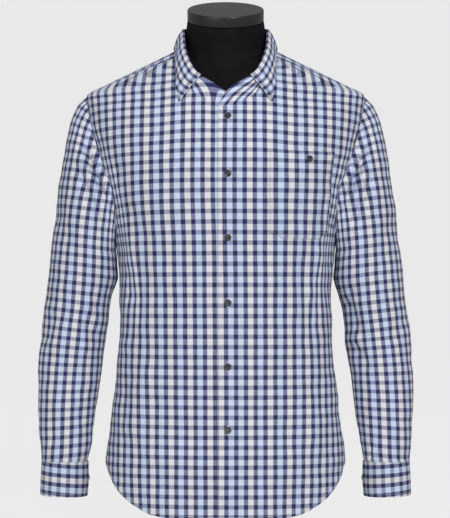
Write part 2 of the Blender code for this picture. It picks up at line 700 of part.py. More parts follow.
def build_sleeve(name, side, front_folds):
    """A sleeve that starts at its armhole; returns its outer points, ring by ring."""
    loop, turn = armhole_loop(side)
    loop = loop * (side, 1, 1)
    shift = loop - sleeve_ring(turn, np.zeros(turn.shape))

    def plain(t, ring):
        fade = 1 - ease(ring / ARMHOLE_REACH)
        return sleeve_ring(t, ring) + shift * fade[..., None]

    last = len(SLEEVE) - 1
    rings = np.concatenate([SLEEVE_HEAD_RINGS, np.linspace(SLEEVE_HEAD_END, last, SLEEVE_ROWS - 3)])
    t, ring = np.meshgrid(turn, rings)
    skin = plain(t, ring)
    around = np.roll(skin, -1, axis=1) - np.roll(skin, 1, axis=1)
    along = np.gradient(skin, axis=0)
    out = unit(np.cross(along, around))
    outward = skin - skin.mean(axis=1, keepdims=True)
    out = out * np.sign((out * outward).sum(axis=-1, keepdims=True))
    front = ease(np.sin(t) * FRONT_BLEND)
    back = ease(-np.sin(t) * FRONT_BLEND)
    moved = front * fold_depth(front_folds, skin[..., 0], skin[..., 2])
    moved = moved + back * fold_depth(SLEEVE_BACK_FOLDS, skin[..., 0], skin[..., 2])
    fade = ease((ring - 0.5) / FOLD_START_RINGS) * ease((last - ring) / FOLD_STOP_RINGS)
    outer = skin + out * (moved * fade)[..., None]
    inner = outer - out * CLOTH
    mirror = np.array([side, 1, 1])
    add_wall(name, outer * mirror, inner * mirror, CHECKED, round_=True)
    return outer * mirror, out * mirror, turn


def cuff_point(turn, height, lift):
    """A point of the cuff on the +X side, moved out by lift."""
    outer_x = read(CUFF_TABLE, "height", "outer_x", height)
    inner_x = read(CUFF_TABLE, "height", "inner_x", height)
    drop = read(CUFF_TABLE, "height", "drop", height)
    half = (outer_x - inner_x) / 2 + lift
    x = (outer_x + inner_x) / 2 + half * np.cos(turn)
    y = SLEEVE[-1][5] - (CUFF_DEPTH + lift) * np.sin(turn)
    return points(x, y, height + drop * np.cos(turn))


def build_cuff(name, side):
    """A cuff: a band whose buttoned end laps over the other at the back of the wrist."""
    turn = CUFF_END - np.linspace(0, 2 * math.pi + CUFF_LAP, CUFF_ACROSS + 1)
    lap = ease((turn - CUFF_END + CUFF_LAP * 1.6) / (CUFF_LAP * 0.5))
    height = np.array([row[0] for row in CUFF])
    t, h = np.meshgrid(turn, height)
    lift = np.broadcast_to(lap * UNDER, t.shape)
    mirror = np.array([side, 1, 1])
    outer = cuff_point(t, h, lift) * mirror
    inner = cuff_point(t, h, lift - CLOTH) * mirror
    add_wall(name, outer, inner, CHECKED)


def build_sleeve_placket(name, outer, out, turn):
    """The strip that binds the slit above the cuff, made from the sleeve's points, moved out."""
    rear = np.argmin(np.abs((turn - PLACKET_TURN + math.pi) % (2 * math.pi) - math.pi))
    cols = [rear - 1, rear, (rear + 1) % len(turn)]
    rows = slice(-PLACKET_ROWS, None)
    base = outer[rows][:, cols]
    lift = out[rows][:, cols]
    add_wall(name, base + lift * (LAY + CLOTH), base + lift * LAY, CHECKED)


# ===== Collar ==========================================================================================
def neck_line(left, right, yoke):
    """The neckline from the left front's edge round the back to the right front's edge."""
    start = HEM_ROWS + WAIST_ROWS + ARM_ROWS
    return np.concatenate([left[start:-1, 0], yoke[-1], right[start:-1, 0][::-1]])


def places(count):
    """How far each column is from its front end: 0 there, 1 at the centre back."""
    return 1 - np.abs(np.linspace(-1, 1, count))


def toward_neck(line):
    """Level directions from each point towards the middle of the neck."""
    middle = np.array([0.0, NECK_MIDDLE_Y, 0.0])
    return unit((middle - line) * (1, 1, 0))


def stand_lines(neck, out):
    """The stand's lower and upper line, from the neckline and the cloth's normals along it."""
    place = places(len(neck))
    rise = read(STAND_TABLE, "place", "rise", place)
    inward = read(STAND_TABLE, "place", "inward", place)
    upward = unit(np.cross(out, np.gradient(neck, axis=0)))
    upward = upward * np.sign(upward[:, 2:3])
    low = neck + upward * NECK_SEAM
    high = low + toward_neck(neck) * inward[:, None] + points(0, 0, rise)
    high[0] += unit(low[1] - low[0]) * STAND_END_LEAN
    high[-1] += unit(low[-2] - low[-1]) * STAND_END_LEAN
    return low, high


def build_stand(neck, neck_out):
    """The collar stand, which rises from the neckline; returns its outer points and their normals."""
    low, high = stand_lines(neck, neck_out)
    outer = low + (high - low) * np.linspace(0, 1, 3)[:, None, None]
    out = unit(np.cross(np.gradient(outer, axis=1), np.gradient(outer, axis=0)))
    out = out * -np.sign((out * toward_neck(neck)).sum(axis=-1, keepdims=True))
    out[0] = neck_out
    add_wall("collar_stand", outer, outer - out * CLOTH, CHECKED)
    return outer, out


def build_leaf(stand, stand_out):
    """The leaf, folded over the top of the stand and down onto the shoulders."""
    fold = stand[-1, LEAF_START:-LEAF_START]
    away = stand_out[-1, LEAF_START:-LEAF_START]
    over = unit(np.cross(away, np.gradient(fold, axis=0)))
    over = over * np.sign(over[:, 2:3])
    place = places(len(fold))
    side = np.where(np.arange(len(fold)) <= (len(fold) - 1) / 2, 1.0, -1.0)
    angle = side * np.radians(read(EDGE_TABLE, "place", "angle", place))
    height = read(EDGE_TABLE, "place", "height", place)
    edge = body(angle, height) + body_normals(angle, height) * (LEAF_CLEAR + CLOTH)
    roll = fold + away * LEAF_ROLL - over * CLOTH
    rows = [fold - away * CLOTH * 0.7 + over * (NECK_SEAM + CLOTH),
            fold + away * LEAF_ROLL * 0.62 + over * (NECK_SEAM + CLOTH * 0.75),
            roll]
    for share in (0.30, 0.65, 1.0):
        bow = math.sin(share * math.pi) * LEAF_BOW
        rows.append(roll + (edge - roll) * share + away * bow)
    outer = np.array(rows)
    out = unit(np.cross(np.gradient(outer, axis=0), np.gradient(outer, axis=1)))
    out[0] = over
    add_wall("collar_leaf", outer, outer - out * CLOTH, CHECKED)


# ===== Pocket and buttons ==============================================================================
def pocket_grid(across, rows):
    """Angles and heights of the patch pocket on the left front."""
    share = np.linspace(0, 1, across + 1)
    slant = np.clip(np.minimum(share, 1 - share) / POCKET_CORNER, 0, 1)
    foot = POCKET_SIDE_Z - (POCKET_SIDE_Z - POCKET_FOOT_Z) * slant
    angles = []
    heights = []
    for f in np.linspace(0, 1, rows + 1):
        level = POCKET_SIDE_Z + (POCKET_TOP_Z - POCKET_SIDE_Z) * f
        first = float(angle_at_x(POCKET_LEFT_X, level))
        fine = np.linspace(first, math.pi / 2, 161)
        line = body_plain(fine, np.full(fine.shape, level))
        run = np.concatenate([[0.0], np.cumsum(np.linalg.norm(np.diff(line, axis=0), axis=1))])
        angles.append(np.interp(share * POCKET_WIDTH, run, fine))
        heights.append(foot + (POCKET_TOP_Z - foot) * f)
    return np.array(angles), np.array(heights)


def build_pocket():
    angle, height = pocket_grid(POCKET_ACROSS, POCKET_ROWS)
    add_panel("chest_pocket", angle, height, CHECKED, LAY + CLOTH)


BUTTON_PROFILE = (
    (0.78, 0.00),
    (1.00, 0.45),
    (0.92, 1.00),
    (0.80, 1.00),
    (0.70, 0.75),
)


def add_button(name, seat, out, radius=BUTTON_RADIUS):
    """A round button with a raised rim, lying on its seat."""
    profile = [(r * radius, h * BUTTON_THICK) for r, h in BUTTON_PROFILE]
    add_turned(name, profile, seat + out * BUTTON_GAP, out, BUTTON_SIDES, BUTTON_GREY)


def build_buttons():
    """Six buttons down the front, one on the pocket and one on each cuff."""
    for number, z in enumerate(BUTTON_Z, 1):
        angle = angle_at_x(np.array([BUTTON_X]), np.array([z]))
        height = np.array([z])
        add_button(f"button_{number}", body(angle, height)[0], body_normals(angle, height)[0])
    height = np.array([POCKET_BUTTON[1]])
    angle = angle_at_x(np.array([POCKET_BUTTON[0]]), height)
    out = body_normals(angle, height)[0]
    add_button("button_pocket", body(angle, height)[0] + out * (LAY + CLOTH), out, BUTTON_RADIUS * 0.95)
    for name, side in (("button_cuff_left", 1), ("button_cuff_right", -1)):
        turn = np.array([CUFF_END - CUFF_LAP * 0.5])
        seat = cuff_point(turn, np.array([CUFF_BUTTON_Z]), UNDER)[0] * (side, 1, 1)
        out = np.array([side * math.cos(turn[0]), -math.sin(turn[0]), 0.0])
        add_button(name, seat, out, BUTTON_RADIUS * 0.92)


# ===== Dress form ======================================================================================
def build_form():
    """The torso with its neck, the cap on the neck and the stand below."""
    turn = np.linspace(0, 2 * math.pi, FORM_ACROSS, endpoint=False)
    rings = []
    for height, half, front, back, power, tilt in FORM:
        x, y = oval(turn, half, front, back, power)
        lean = math.radians(tilt)
        middle = CAP_MIDDLE[1] * ease((height - 0.79) / 0.06)
        rings.append(points(x, middle + y * math.cos(lean), height + y * math.sin(lean)))
    add_rings("form_torso", np.array(rings), FORM_BLACK)
    axis = (0.0, -math.sin(CAP_TILT), math.cos(CAP_TILT))
    seat = np.array(CAP_MIDDLE) + np.array(axis) * SEAM
    cap = ((CAP_RADIUS - CAP_ROUND, 0), (CAP_RADIUS, CAP_ROUND), (CAP_RADIUS, CAP_THICK - CAP_ROUND),
           (CAP_RADIUS - CAP_ROUND, CAP_THICK))
    add_turned("form_cap", cap, seat, axis, CAP_SIDES, CAP_BLACK)
    top = FORM[0][0] - SEAM
    foot = ((STAND_PLATE_RADIUS, 0),
            (STAND_PLATE_RADIUS, STAND_PLATE_THICK - STAND_PLATE_ROUND),
            (STAND_PLATE_RADIUS - STAND_PLATE_ROUND, STAND_PLATE_THICK),
            (STAND_POST_RADIUS, STAND_PLATE_THICK),
            (STAND_POST_RADIUS, top - STAND_COLLAR_THICK),
            (STAND_COLLAR_RADIUS, top - STAND_COLLAR_THICK),
            (STAND_COLLAR_RADIUS, top))
    add_turned("form_stand", foot, (0, 0, 0), (0, 0, 1), PLATE_SIDES, CAP_BLACK)


def clear_scene():
    for ob in list(bpy.data.objects):
        bpy.data.objects.remove(ob)


def main():
    clear_scene()
    left, right = build_fronts()
    build_back()
    yoke = build_yoke()
    sleeves = (("sleeve_left", 1, LEFT_SLEEVE_FRONT_FOLDS), ("sleeve_right", -1, RIGHT_SLEEVE_FRONT_FOLDS))
    for name, side, folds in sleeves:
        outer, out, turn = build_sleeve(name, side, folds)
        build_sleeve_placket(name.replace("sleeve", "sleeve_placket"), outer, out, turn)
        build_cuff(name.replace("sleeve", "cuff"), side)
    build_leaf(*build_stand(neck_line(left[0], right[0], yoke[0]), neck_line(left[1], right[1], yoke[1])))
    build_pocket()
    build_buttons()
    build_form()


main()
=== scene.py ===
"""The looks of a checked shirt on a dress form: cloth, stitches, buttons, the form, light and camera.

Every cloth piece is a thin shell on the shape of its solid, with finer creases. The front faces -Y, the
wearer's left is +X, and everything is in metres.
"""

import math

import bpy
import numpy as np
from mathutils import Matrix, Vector


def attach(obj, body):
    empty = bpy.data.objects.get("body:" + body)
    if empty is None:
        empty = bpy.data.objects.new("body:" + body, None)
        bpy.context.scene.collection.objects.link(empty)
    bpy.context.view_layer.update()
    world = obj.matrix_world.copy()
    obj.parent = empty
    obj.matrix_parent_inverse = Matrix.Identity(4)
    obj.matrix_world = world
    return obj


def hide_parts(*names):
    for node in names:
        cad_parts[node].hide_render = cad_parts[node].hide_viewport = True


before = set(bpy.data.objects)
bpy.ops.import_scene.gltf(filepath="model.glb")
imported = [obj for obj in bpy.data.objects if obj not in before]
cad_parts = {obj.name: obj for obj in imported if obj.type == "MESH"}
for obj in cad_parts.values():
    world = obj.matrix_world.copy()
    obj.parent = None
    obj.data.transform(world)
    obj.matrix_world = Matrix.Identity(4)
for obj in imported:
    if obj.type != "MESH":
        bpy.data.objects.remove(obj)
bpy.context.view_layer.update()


def table(columns, rows):
    """The rows of a table as one array for each named column."""
    return {name: np.array([row[k] for row in rows], float) for k, name in enumerate(columns.split())}


# --- Cloth and sewing ---
CLOTH = 0.0012          # the wall of the solids, whose outer faces the shells follow
SHELL = 0.0007          # one layer of cloth with its turned edge
STIFF_SHELL = 0.0011    # collar and cuffs, which are two layers with an interlining
SEAM = 0.0003           # gap between the solids of two pieces that are sewn together
NECK_SEAM = 0.0005      # gap below the collar stand and below its leaf
LAY = 0.0008            # gap below a piece that lies on other cloth
UNDER = CLOTH + 0.0012  # how far the lower of two lapping pieces lies in
STEP = 0.0030           # spacing of the points on the large panels
FINE_STEP = 0.0020      # on small pieces
SHARP_ANGLE = math.radians(50)
EDGE_ROLL = 0.0016      # width of the rolled edge of cuffs and collar
SEAM_INSET = 0.0050     # from an edge to its row of stitches
THREAD_LIFT = 0.0002
STITCH_LENGTH = 0.0021
STITCH_GAP = 0.0008
STITCH_WIDTH = 0.00046
STITCH_HEIGHT = 0.00032
STITCH_ROUND = 4
# a stitch along x: how far along it, and how thick it is there
STITCH_STATIONS = ((-0.50, 0.25), (-0.36, 0.90), (0.36, 0.90), (0.50, 0.25))
# puckers beside stitches: height, wave along them, reach beside them
PUCKERS = {
    "side": (0.00022, 0.0085, 0.007),
    "facing": (0.00016, 0.013, 0.007),
    "back_seam": (0.0003, 0.012, 0.012),
    "yoke_seam": (0.0002, 0.010, 0.007),
    "cuff": (0.00016, 0.009, 0.005),
    "leaf": (0.00014, 0.008, 0.004),
    "pocket": (0.0003, 0.009, 0.005),
}
HEM_WIDTH = 0.0070
HEM_SWELL = 0.00035
HEM_GROOVE = 0.00025
HEM_RIPPLE = 0.00026
HEM_RIPPLE_WAVE = 0.011
HEM_THREAD_INSET = 0.001
HEM_THREAD_LIFT = 0.00045
FACING_EDGE = 0.0030    # width of the thicker edge of the left front
FACING_SWELL = 0.00045
FACING_INSET = 0.0040
FACING_REACH = 0.0500   # how far from the buttoned edge its puckers reach
# widths that the columns of points of a panel are counted from
FRONT_WIDTH = 0.250
BACK_WIDTH = 0.460
YOKE_WIDTH = 0.470
UP = np.array([0.0, 0.0, 1.0])

# --- Heights that several pieces share ---
STRAIGHT_Z = 0.380      # the rows of points are level from here up
HEM_LEVEL = 0.100       # the section on which the hem's points are spaced evenly
UNDERARM_Z = 0.490
YOKE_BACK_Z = 0.690
NECK_FRONT_Z = 0.700
SHOULDER_Z = 0.7265
NECK_CORNER_Z = 0.787
LEFT_EDGE_X = -0.0114
RIGHT_EDGE_X = 0.0165
SINK_START_X = -0.0340  # from here the right front sinks below the left one
SINK_WIDTH = 0.0200

# --- Body of the shirt: level sections ---
BODY = table("height half_width front back power", (
    (0.040, 0.1890, 0.1290, 0.1210, 0.89),
    (0.140, 0.1915, 0.1270, 0.1220, 0.89),
    (0.190, 0.1860, 0.1220, 0.1190, 0.89),
    (0.230, 0.1815, 0.1180, 0.1150, 0.89),
    (0.300, 0.1735, 0.1140, 0.1070, 0.89),
    (0.342, 0.1704, 0.1130, 0.1030, 0.89),
    (0.400, 0.1696, 0.1140, 0.1010, 0.89),
    (0.440, 0.1712, 0.1165, 0.1040, 0.89),
    (0.466, 0.1735, 0.1190, 0.1080, 0.89),
    (0.490, 0.1765, 0.1210, 0.1120, 0.89),
    (0.560, 0.1920, 0.1270, 0.1200, 0.88),
    (0.610, 0.2040, 0.1290, 0.1240, 0.87),
    (0.660, 0.2150, 0.1240, 0.1235, 0.90),
    (0.700, 0.2210, 0.1110, 0.1170, 0.97),
    (0.7265, 0.2244, 0.0990, 0.1090, 1.08),
    (0.7475, 0.1890, 0.0850, 0.0990, 1.06),
    (0.7667, 0.1490, 0.0690, 0.0890, 0.96),
    (0.7870, 0.1080, 0.0480, 0.0810, 0.89),
    (0.8020, 0.0800, 0.0380, 0.0750, 0.89),
    (0.8200, 0.0600, 0.0320, 0.0670, 0.89),
))
HEM = table("angle height", (
    (0, 0.0600),
    (15, 0.0612),
    (33, 0.0668),
    (49, 0.0840),
    (60, 0.1010),
    (70, 0.1190),
    (80, 0.1380),
    (90, 0.1450),
    (100, 0.1370),
    (112, 0.1130),
    (124, 0.0870),
    (138, 0.0650),
    (158, 0.0520),
    (180, 0.0480),
))
ARMHOLE = table("height front_x back_x", (
    (0.490, 0.1765, 0.1765),
    (0.520, 0.1745, 0.1790),
    (0.562, 0.1775, 0.1860),
    (0.600, 0.1885, 0.1950),
    (0.638, 0.2020, 0.2040),
    (0.672, 0.2118, 0.2120),
    (0.704, 0.2190, 0.2185),
    (0.7265, 0.2244, 0.2244),
))
NECKLINE = table("height x", (
    (0.7000, -0.0114),
    (0.7053, 0.0100),
    (0.7110, 0.0265),
    (0.7188, 0.0435),
    (0.7265, 0.0525),
    (0.7386, 0.0605),
    (0.7507, 0.0670),
    (0.7628, 0.0720),
    (0.7749, 0.0755),
    (0.7870, 0.0780),
))
SEAM_SLANT = 2.3        # level width of the yoke's slanting seam, in seams
YOKE_SETBACK = 0.0300   # how far the yoke comes forward at the neck's corner
SHOULDER_ROW = 14       # the body's section at the end of the shoulder
NECK_ROW = 17           # the body's section at the neck's corner
YOKE_NECK = table("angle height", (
    (43.0, 0.7870),
    (52.0, 0.7925),
    (62.0, 0.7970),
    (75.0, 0.8005),
    (90.0, 0.8025),
    (120.0, 0.8080),
    (150.0, 0.8140),
    (180.0, 0.8170),
))

# --- Sleeves and cuffs ---
SLEEVE = table("outer_x outer_z inner_x inner_z depth middle_y", (
    (0.2244, 0.7265, 0.1765, 0.4900, 0.052, 0.002),
    (0.2385, 0.7120, 0.1768, 0.4780, 0.062, 0.003),
    (0.2486, 0.6900, 0.1753, 0.4660, 0.066, 0.004),
    (0.2572, 0.6510, 0.1742, 0.4520, 0.068, 0.005),
    (0.2640, 0.6124, 0.1737, 0.4385, 0.068, 0.006),
    (0.2695, 0.5738, 0.1765, 0.4240, 0.067, 0.007),
    (0.2745, 0.5350, 0.1835, 0.4050, 0.065, 0.009),
    (0.2790, 0.4966, 0.1870, 0.3850, 0.063, 0.011),
    (0.2838, 0.4580, 0.1905, 0.3616, 0.061, 0.012),
    (0.2900, 0.4000, 0.1940, 0.3280, 0.059, 0.012),
    (0.2952, 0.3600, 0.1970, 0.3050, 0.057, 0.010),
    (0.2990, 0.3230, 0.2000, 0.2840, 0.054, 0.007),
    (0.3006, 0.2844, 0.2035, 0.2590, 0.051, 0.003),
    (0.3006, 0.2458, 0.2068, 0.2320, 0.048, -0.002),
    (0.2990, 0.2072, 0.2108, 0.2000, 0.045, -0.007),
    (0.2960, 0.1700, 0.2152, 0.1700, 0.042, -0.011),
    (0.2940, 0.1520, 0.2190, 0.1520, 0.039, -0.013),
    (0.2936, 0.1443, 0.2210, 0.1443, 0.037, -0.014),
))
CUFF_RING = len(SLEEVE["depth"]) - 1
SLEEVE = {"ring": np.arange(CUFF_RING + 1.0), **SLEEVE}
SLEEVE_SEAM_RING = 0.035  # the first ring, just off the armhole
SLEEVE_RINGS = 190
ARMHOLE_REACH = 3.0     # rings over which the sleeve takes its plain shape
CREASE_START_RINGS = 1.1
CREASE_END_RINGS = 0.8
GATHERS_TURN = math.radians(-80)
GATHERS_DEPTH = 0.0011
PLACKET_TURN = math.radians(-118)  # where the slit lies round the wrist
PLACKET_WIDTH = 0.0190
PLACKET_LENGTH = 0.1080
PLACKET_COLS = 15
PLACKET_SHELL = 0.0010
PLACKET_SINK = 0.0003   # by which its edges lie lower
CUFF = table("height outer_x inner_x drop", (
    (0.0890, 0.2958, 0.2226, 0.0012),
    (0.1160, 0.2948, 0.2210, 0.0004),
    (0.1440, 0.2936, 0.2210, 0.0000),
))
CUFF_DEPTH = 0.0370
CUFF_LAP = math.radians(32)  # how far the cuff's ends lap
CUFF_END = math.radians(222)  # where its upper end lies
CUFF_WAVE = 0.0004      # height of the cuff's slow waves
ROLL_DEPTH = 0.0004     # by which its edges roll in

# --- Folds: the line each runs along as seen from the front or the back, its width and its depth ---
# the columns are x0, z0, x1, z1, width, depth, in millimetres
FOLD_ENDS = 3.0         # folds fade over a third of their length at each end
FRONT_BLEND = 2.5       # how quickly the front's folds give way to the back's
UNEVEN_END = 0.06       # height over which the unevenness ends below the collar
BODY_FRONT_FOLDS = (
    (-183, 640, -146, 500, 12, -3.5),
    (-128, 540, -134, 330, 9, -3),
    (-152, 530, -158, 300, 8, 2.5),
    (-120, 330, -150, 150, 16, 2.5),
    (178, 640, 150, 500, 12, -3.5),
    (116, 480, 136, 330, 9, -3),
    (146, 530, 156, 310, 8, 2.5),
    (118, 300, 148, 140, 16, 2.5),
    (50, 300, 60, 100, 20, -2),
    (-60, 280, -70, 110, 20, -2),
)
BODY_BACK_FOLDS = (
    (-170, 640, -120, 480, 14, -4),
    (-125, 520, -110, 300, 12, -3.5),
    (-60, 560, -48, 300, 15, 3),
    (170, 630, 128, 470, 14, -4),
    (120, 500, 104, 280, 12, -3.5),
    (55, 600, 40, 330, 15, 3),
    (0, 450, 6, 140, 18, -3),
    (110, 260, 130, 110, 18, 3),
    (-105, 250, -128, 110, 18, 3),
)
RIGHT_SLEEVE_FRONT_FOLDS = (
    (228, 660, 184, 555, 11, -6),
    (246, 630, 190, 515, 9, -4.5),
    (232, 392, 202, 325, 9, -5.5),
    (272, 385, 290, 325, 10, -3),
    (254, 300, 230, 235, 12, -3),
    (275, 560, 240, 470, 14, -3),
)
LEFT_SLEEVE_FRONT_FOLDS = (
    (226, 655, 186, 550, 11, -6),
    (236, 610, 196, 505, 9, -4.5),
    (192, 410, 212, 335, 10, -5.5),
    (200, 338, 228, 285, 9, -5),
    (284, 380, 262, 325, 11, -2.5),
    (268, 540, 238, 450, 14, -3),
)
SLEEVE_BACK_FOLDS = (
    (236, 650, 196, 540, 12, -5.5),
    (262, 470, 214, 420, 11, -5),
    (270, 420, 214, 370, 11, -5.5),
    (274, 370, 226, 330, 11, -4.5),
    (244, 290, 250, 190, 11, 3.5),
)
# finer creases that only the shells have
FRONT_CREASES = (
    (-172, 600, -150, 505, 4.5, 1.2),
    (-160, 470, -142, 380, 5, -1.2),
    (-98, 600, -112, 470, 9, 0.9),
    (-152, 300, -160, 190, 6, -1.1),
    (-30, 300, -44, 190, 11, 0.9),
    (168, 590, 150, 500, 4.5, 1.2),
    (126, 455, 142, 350, 4.5, 1.4),
    (104, 440, 120, 330, 6, 1.1),
    (86, 270, 100, 150, 9, -1),
    (150, 250, 160, 150, 6, -1.1),
    (70, 700, 130, 660, 7, -0.8),
    (-75, 695, -135, 655, 7, -0.8),
)
BACK_CREASES = (
    (-150, 560, -110, 430, 6, 1.4),
    (148, 550, 112, 420, 6, 1.4),
    (-30, 640, -22, 500, 8, 1.2),
    (28, 650, 20, 510, 8, 1.2),
    (-80, 350, -74, 180, 9, -1.4),
    (72, 330, 80, 160, 9, -1.4),
    (30, 290, 38, 110, 8, 1.2),
)
RIGHT_SLEEVE_CREASES = (
    (214, 420, 196, 372, 4.5, -2.2),
    (240, 360, 208, 300, 5, 1.6),
    (262, 420, 246, 350, 5, -1.4),
    (236, 240, 222, 190, 5, -1.6),
    (280, 240, 272, 160, 5, -1.4),
    (258, 205, 256, 146, 3.5, -1.8),
    (236, 200, 242, 146, 3.5, -1.6),
    (226, 675, 178, 520, 7.5, -10),
    (240, 620, 188, 500, 4.5, -4.5),
    (234, 645, 190, 540, 5.5, 3),
)
LEFT_SLEEVE_CREASES = (
    (206, 430, 190, 380, 4.5, -2),
    (196, 372, 220, 312, 5, 2),
    (232, 330, 252, 290, 5, -1.4),
    (260, 440, 246, 370, 6, -1.2),
    (244, 240, 236, 180, 6, -1.4),
    (276, 230, 270, 160, 5, -1.2),
    (229, 178, 228.5, 142, 3, -2.4),
    (234.5, 172, 234, 142, 2.6, 1.6),
    (225, 670, 180, 515, 7.5, -10),
    (238, 612, 192, 500, 4.5, -4.5),
    (234, 640, 192, 535, 5.5, 3),
)
BACK_SLEEVE_CREASES = (
    (250, 600, 206, 500, 6, 1.8),
    (256, 445, 212, 395, 5, 1.8),
    (262, 395, 218, 350, 5, 1.8),
    (236, 230, 240, 160, 4.5, -1.8),
    (266, 240, 262, 150, 4.5, -1.8),
)
# slow unevenness of worn cloth: waves per metre along x and z, start, height
UNEVEN = (
    (7.0, 11.0, 0.3, 0.00050),
    (-13.0, 9.0, 1.7, 0.00038),
    (19.0, 17.0, 4.1, 0.00026),
    (-27.0, 23.0, 2.9, 0.00018),
    (5.0, 31.0, 5.3, 0.00016),
)

# --- Collar ---
STAND = table("place rise inward", (
    (0.00, 0.0195, 0.0050),
    (0.06, 0.0290, 0.0085),
    (0.14, 0.0325, 0.0105),
    (0.25, 0.0310, 0.0110),
    (0.50, 0.0315, 0.0120),
    (0.75, 0.0330, 0.0090),
    (1.00, 0.0345, 0.0055),
))
STAND_END_LEAN = 0.0090 # how far the stand's front ends lean back
LEAF_START = 3          # coarse columns of the stand before the leaf starts
YOKE_ACROSS = 22        # coarse columns of the collar along the yoke
# the leaf's outer edge on the body, from its front end (0) to the centre back (1)
EDGE = table("place angle height", (
    (0.00, 19.2, 0.7080),
    (0.12, 23.2, 0.7360),
    (0.26, 32.5, 0.7690),
    (0.38, 50.0, 0.7905),
    (0.48, 80.0, 0.7998),
    (0.65, 121.0, 0.8050),
    (0.82, 151.0, 0.8070),
    (1.00, 180.0, 0.8080),
))
LEAF_ROLL = 0.0030      # how far the fold stands out from the stand
LEAF_BOW = 0.0022       # how far the leaf bows out below its fold
LEAF_CLEAR = 0.0014     # gap between the leaf's edge and the shirt
NECK_MIDDLE_Y = 0.008
COLLAR_FINE = 6         # points for each one of the coarse grid that the collar is drawn through
STAND_ROWS = 17
LEAF_ROWS = 46
LEAF_SWELL = 0.00022    # of its edge, which is turned in
LEAF_SINK = 0.0003

# --- Pocket and buttons ---
POCKET_LEFT_X = 0.0668
POCKET_WIDTH = 0.1120
POCKET_TOP_Z = 0.6320
POCKET_SIDE_Z = 0.5080
POCKET_FOOT_Z = 0.4955
POCKET_CORNER = 0.22    # share of the width that is cut off at each corner
POCKET_INSET = 0.0018
POCKET_SECOND_ROW = 0.0050
POCKET_THREAD_LIFT = 0.00015
POCKET_GROOVE = 0.00025
POCKET_WAVE = 0.0006    # height of the mouth's waves
BUTTON_X = 0.0035
BUTTON_Z = (0.6860, 0.5960, 0.4970, 0.3960, 0.2970, 0.1995)
BUTTON_TWISTS = (12, -8, 31, 4, -20, 16)
BUTTON_RADIUS = 0.0054
BUTTON_THICK = 0.0026
BUTTON_GAP = 0.0004     # between a button and its cloth
POCKET_BUTTON = (0.1293, 0.6198)
CUFF_BUTTON_Z = 0.1160
BUTTON_SIDES = 56
BUTTON_RINGS = (
    # radius and height, as shares of the button's own
    (0.78, 0.00), (0.95, 0.20), (1.00, 0.48), (0.985, 0.75), (0.95, 0.93), (0.90, 1.00), (0.84, 0.98),
    (0.79, 0.88), (0.74, 0.76), (0.69, 0.71),
)
BUTTON_FLAT = 0.70      # height of the sunk middle
HOLE_RADIUS = 0.00085
HOLE_EDGE = 0.00025
HOLE_AT = 0.0015625
HOLE_DEPTH = 0.0012
BUTTONHOLE = 0.0145

# --- Dress form ---
FORM = table("height half_width front back power tilt", (
    (0.1250, 0.1330, 0.0800, 0.0800, 0.89, 0),
    (0.1290, 0.1420, 0.0890, 0.0880, 0.89, 0),
    (0.1400, 0.1500, 0.0960, 0.0950, 0.89, 0),
    (0.2000, 0.1560, 0.1010, 0.1000, 0.89, 0),
    (0.2600, 0.1550, 0.1000, 0.0980, 0.89, 0),
    (0.3300, 0.1490, 0.0950, 0.0890, 0.89, 0),
    (0.4000, 0.1470, 0.0940, 0.0850, 0.89, 0),
    (0.4600, 0.1500, 0.1000, 0.0890, 0.89, 0),
    (0.5200, 0.1570, 0.1080, 0.0990, 0.89, 0),
    (0.5800, 0.1640, 0.1140, 0.1070, 0.89, 0),
    (0.6300, 0.1710, 0.1150, 0.1110, 0.89, 0),
    (0.6700, 0.1790, 0.1100, 0.1110, 0.89, 0),
    (0.7000, 0.1850, 0.0980, 0.1060, 0.97, 0),
    (0.7200, 0.1880, 0.0900, 0.1000, 1.02, 0),
    (0.7350, 0.1860, 0.0820, 0.0940, 1.10, 0),
    (0.7475, 0.1780, 0.0755, 0.0890, 1.12, 0),
    (0.7575, 0.1595, 0.0700, 0.0850, 1.12, 0),
    (0.7667, 0.1412, 0.0640, 0.0800, 1.10, 0),
    (0.7770, 0.1232, 0.0610, 0.0750, 1.25, 1),
    (0.7870, 0.1030, 0.0585, 0.0700, 1.35, 3),
    (0.7960, 0.0835, 0.0575, 0.0655, 1.25, 5),
    (0.8060, 0.0708, 0.0580, 0.0615, 1.08, 8),
    (0.8200, 0.0665, 0.0595, 0.0590, 1.00, 12),
    (0.8360, 0.0635, 0.0605, 0.0580, 1.00, 17),
    (0.8500, 0.0615, 0.0608, 0.0590, 1.00, 20),
))
CAP_TILT = math.radians(20)
CAP_RADIUS = 0.0615
CAP_THICK = 0.0180
CAP_EDGE = 0.0016
CAP_MIDDLE = (0.0, 0.0010, 0.8504)
STAND_PLATE_RADIUS = 0.1500
STAND_PLATE_THICK = 0.0080
STAND_PLATE_EDGE = 0.0020
STAND_POST_RADIUS = 0.0200
STAND_COLLAR_RADIUS = 0.0450
STAND_COLLAR_THICK = 0.0100
# the weld's profile: beyond the post, above the plate
WELD = ((0.012, 0.0), (0.0115, 0.0012), (0.002, 0.0030), (0.0, 0.0050))
TURNED_SIDES = 120

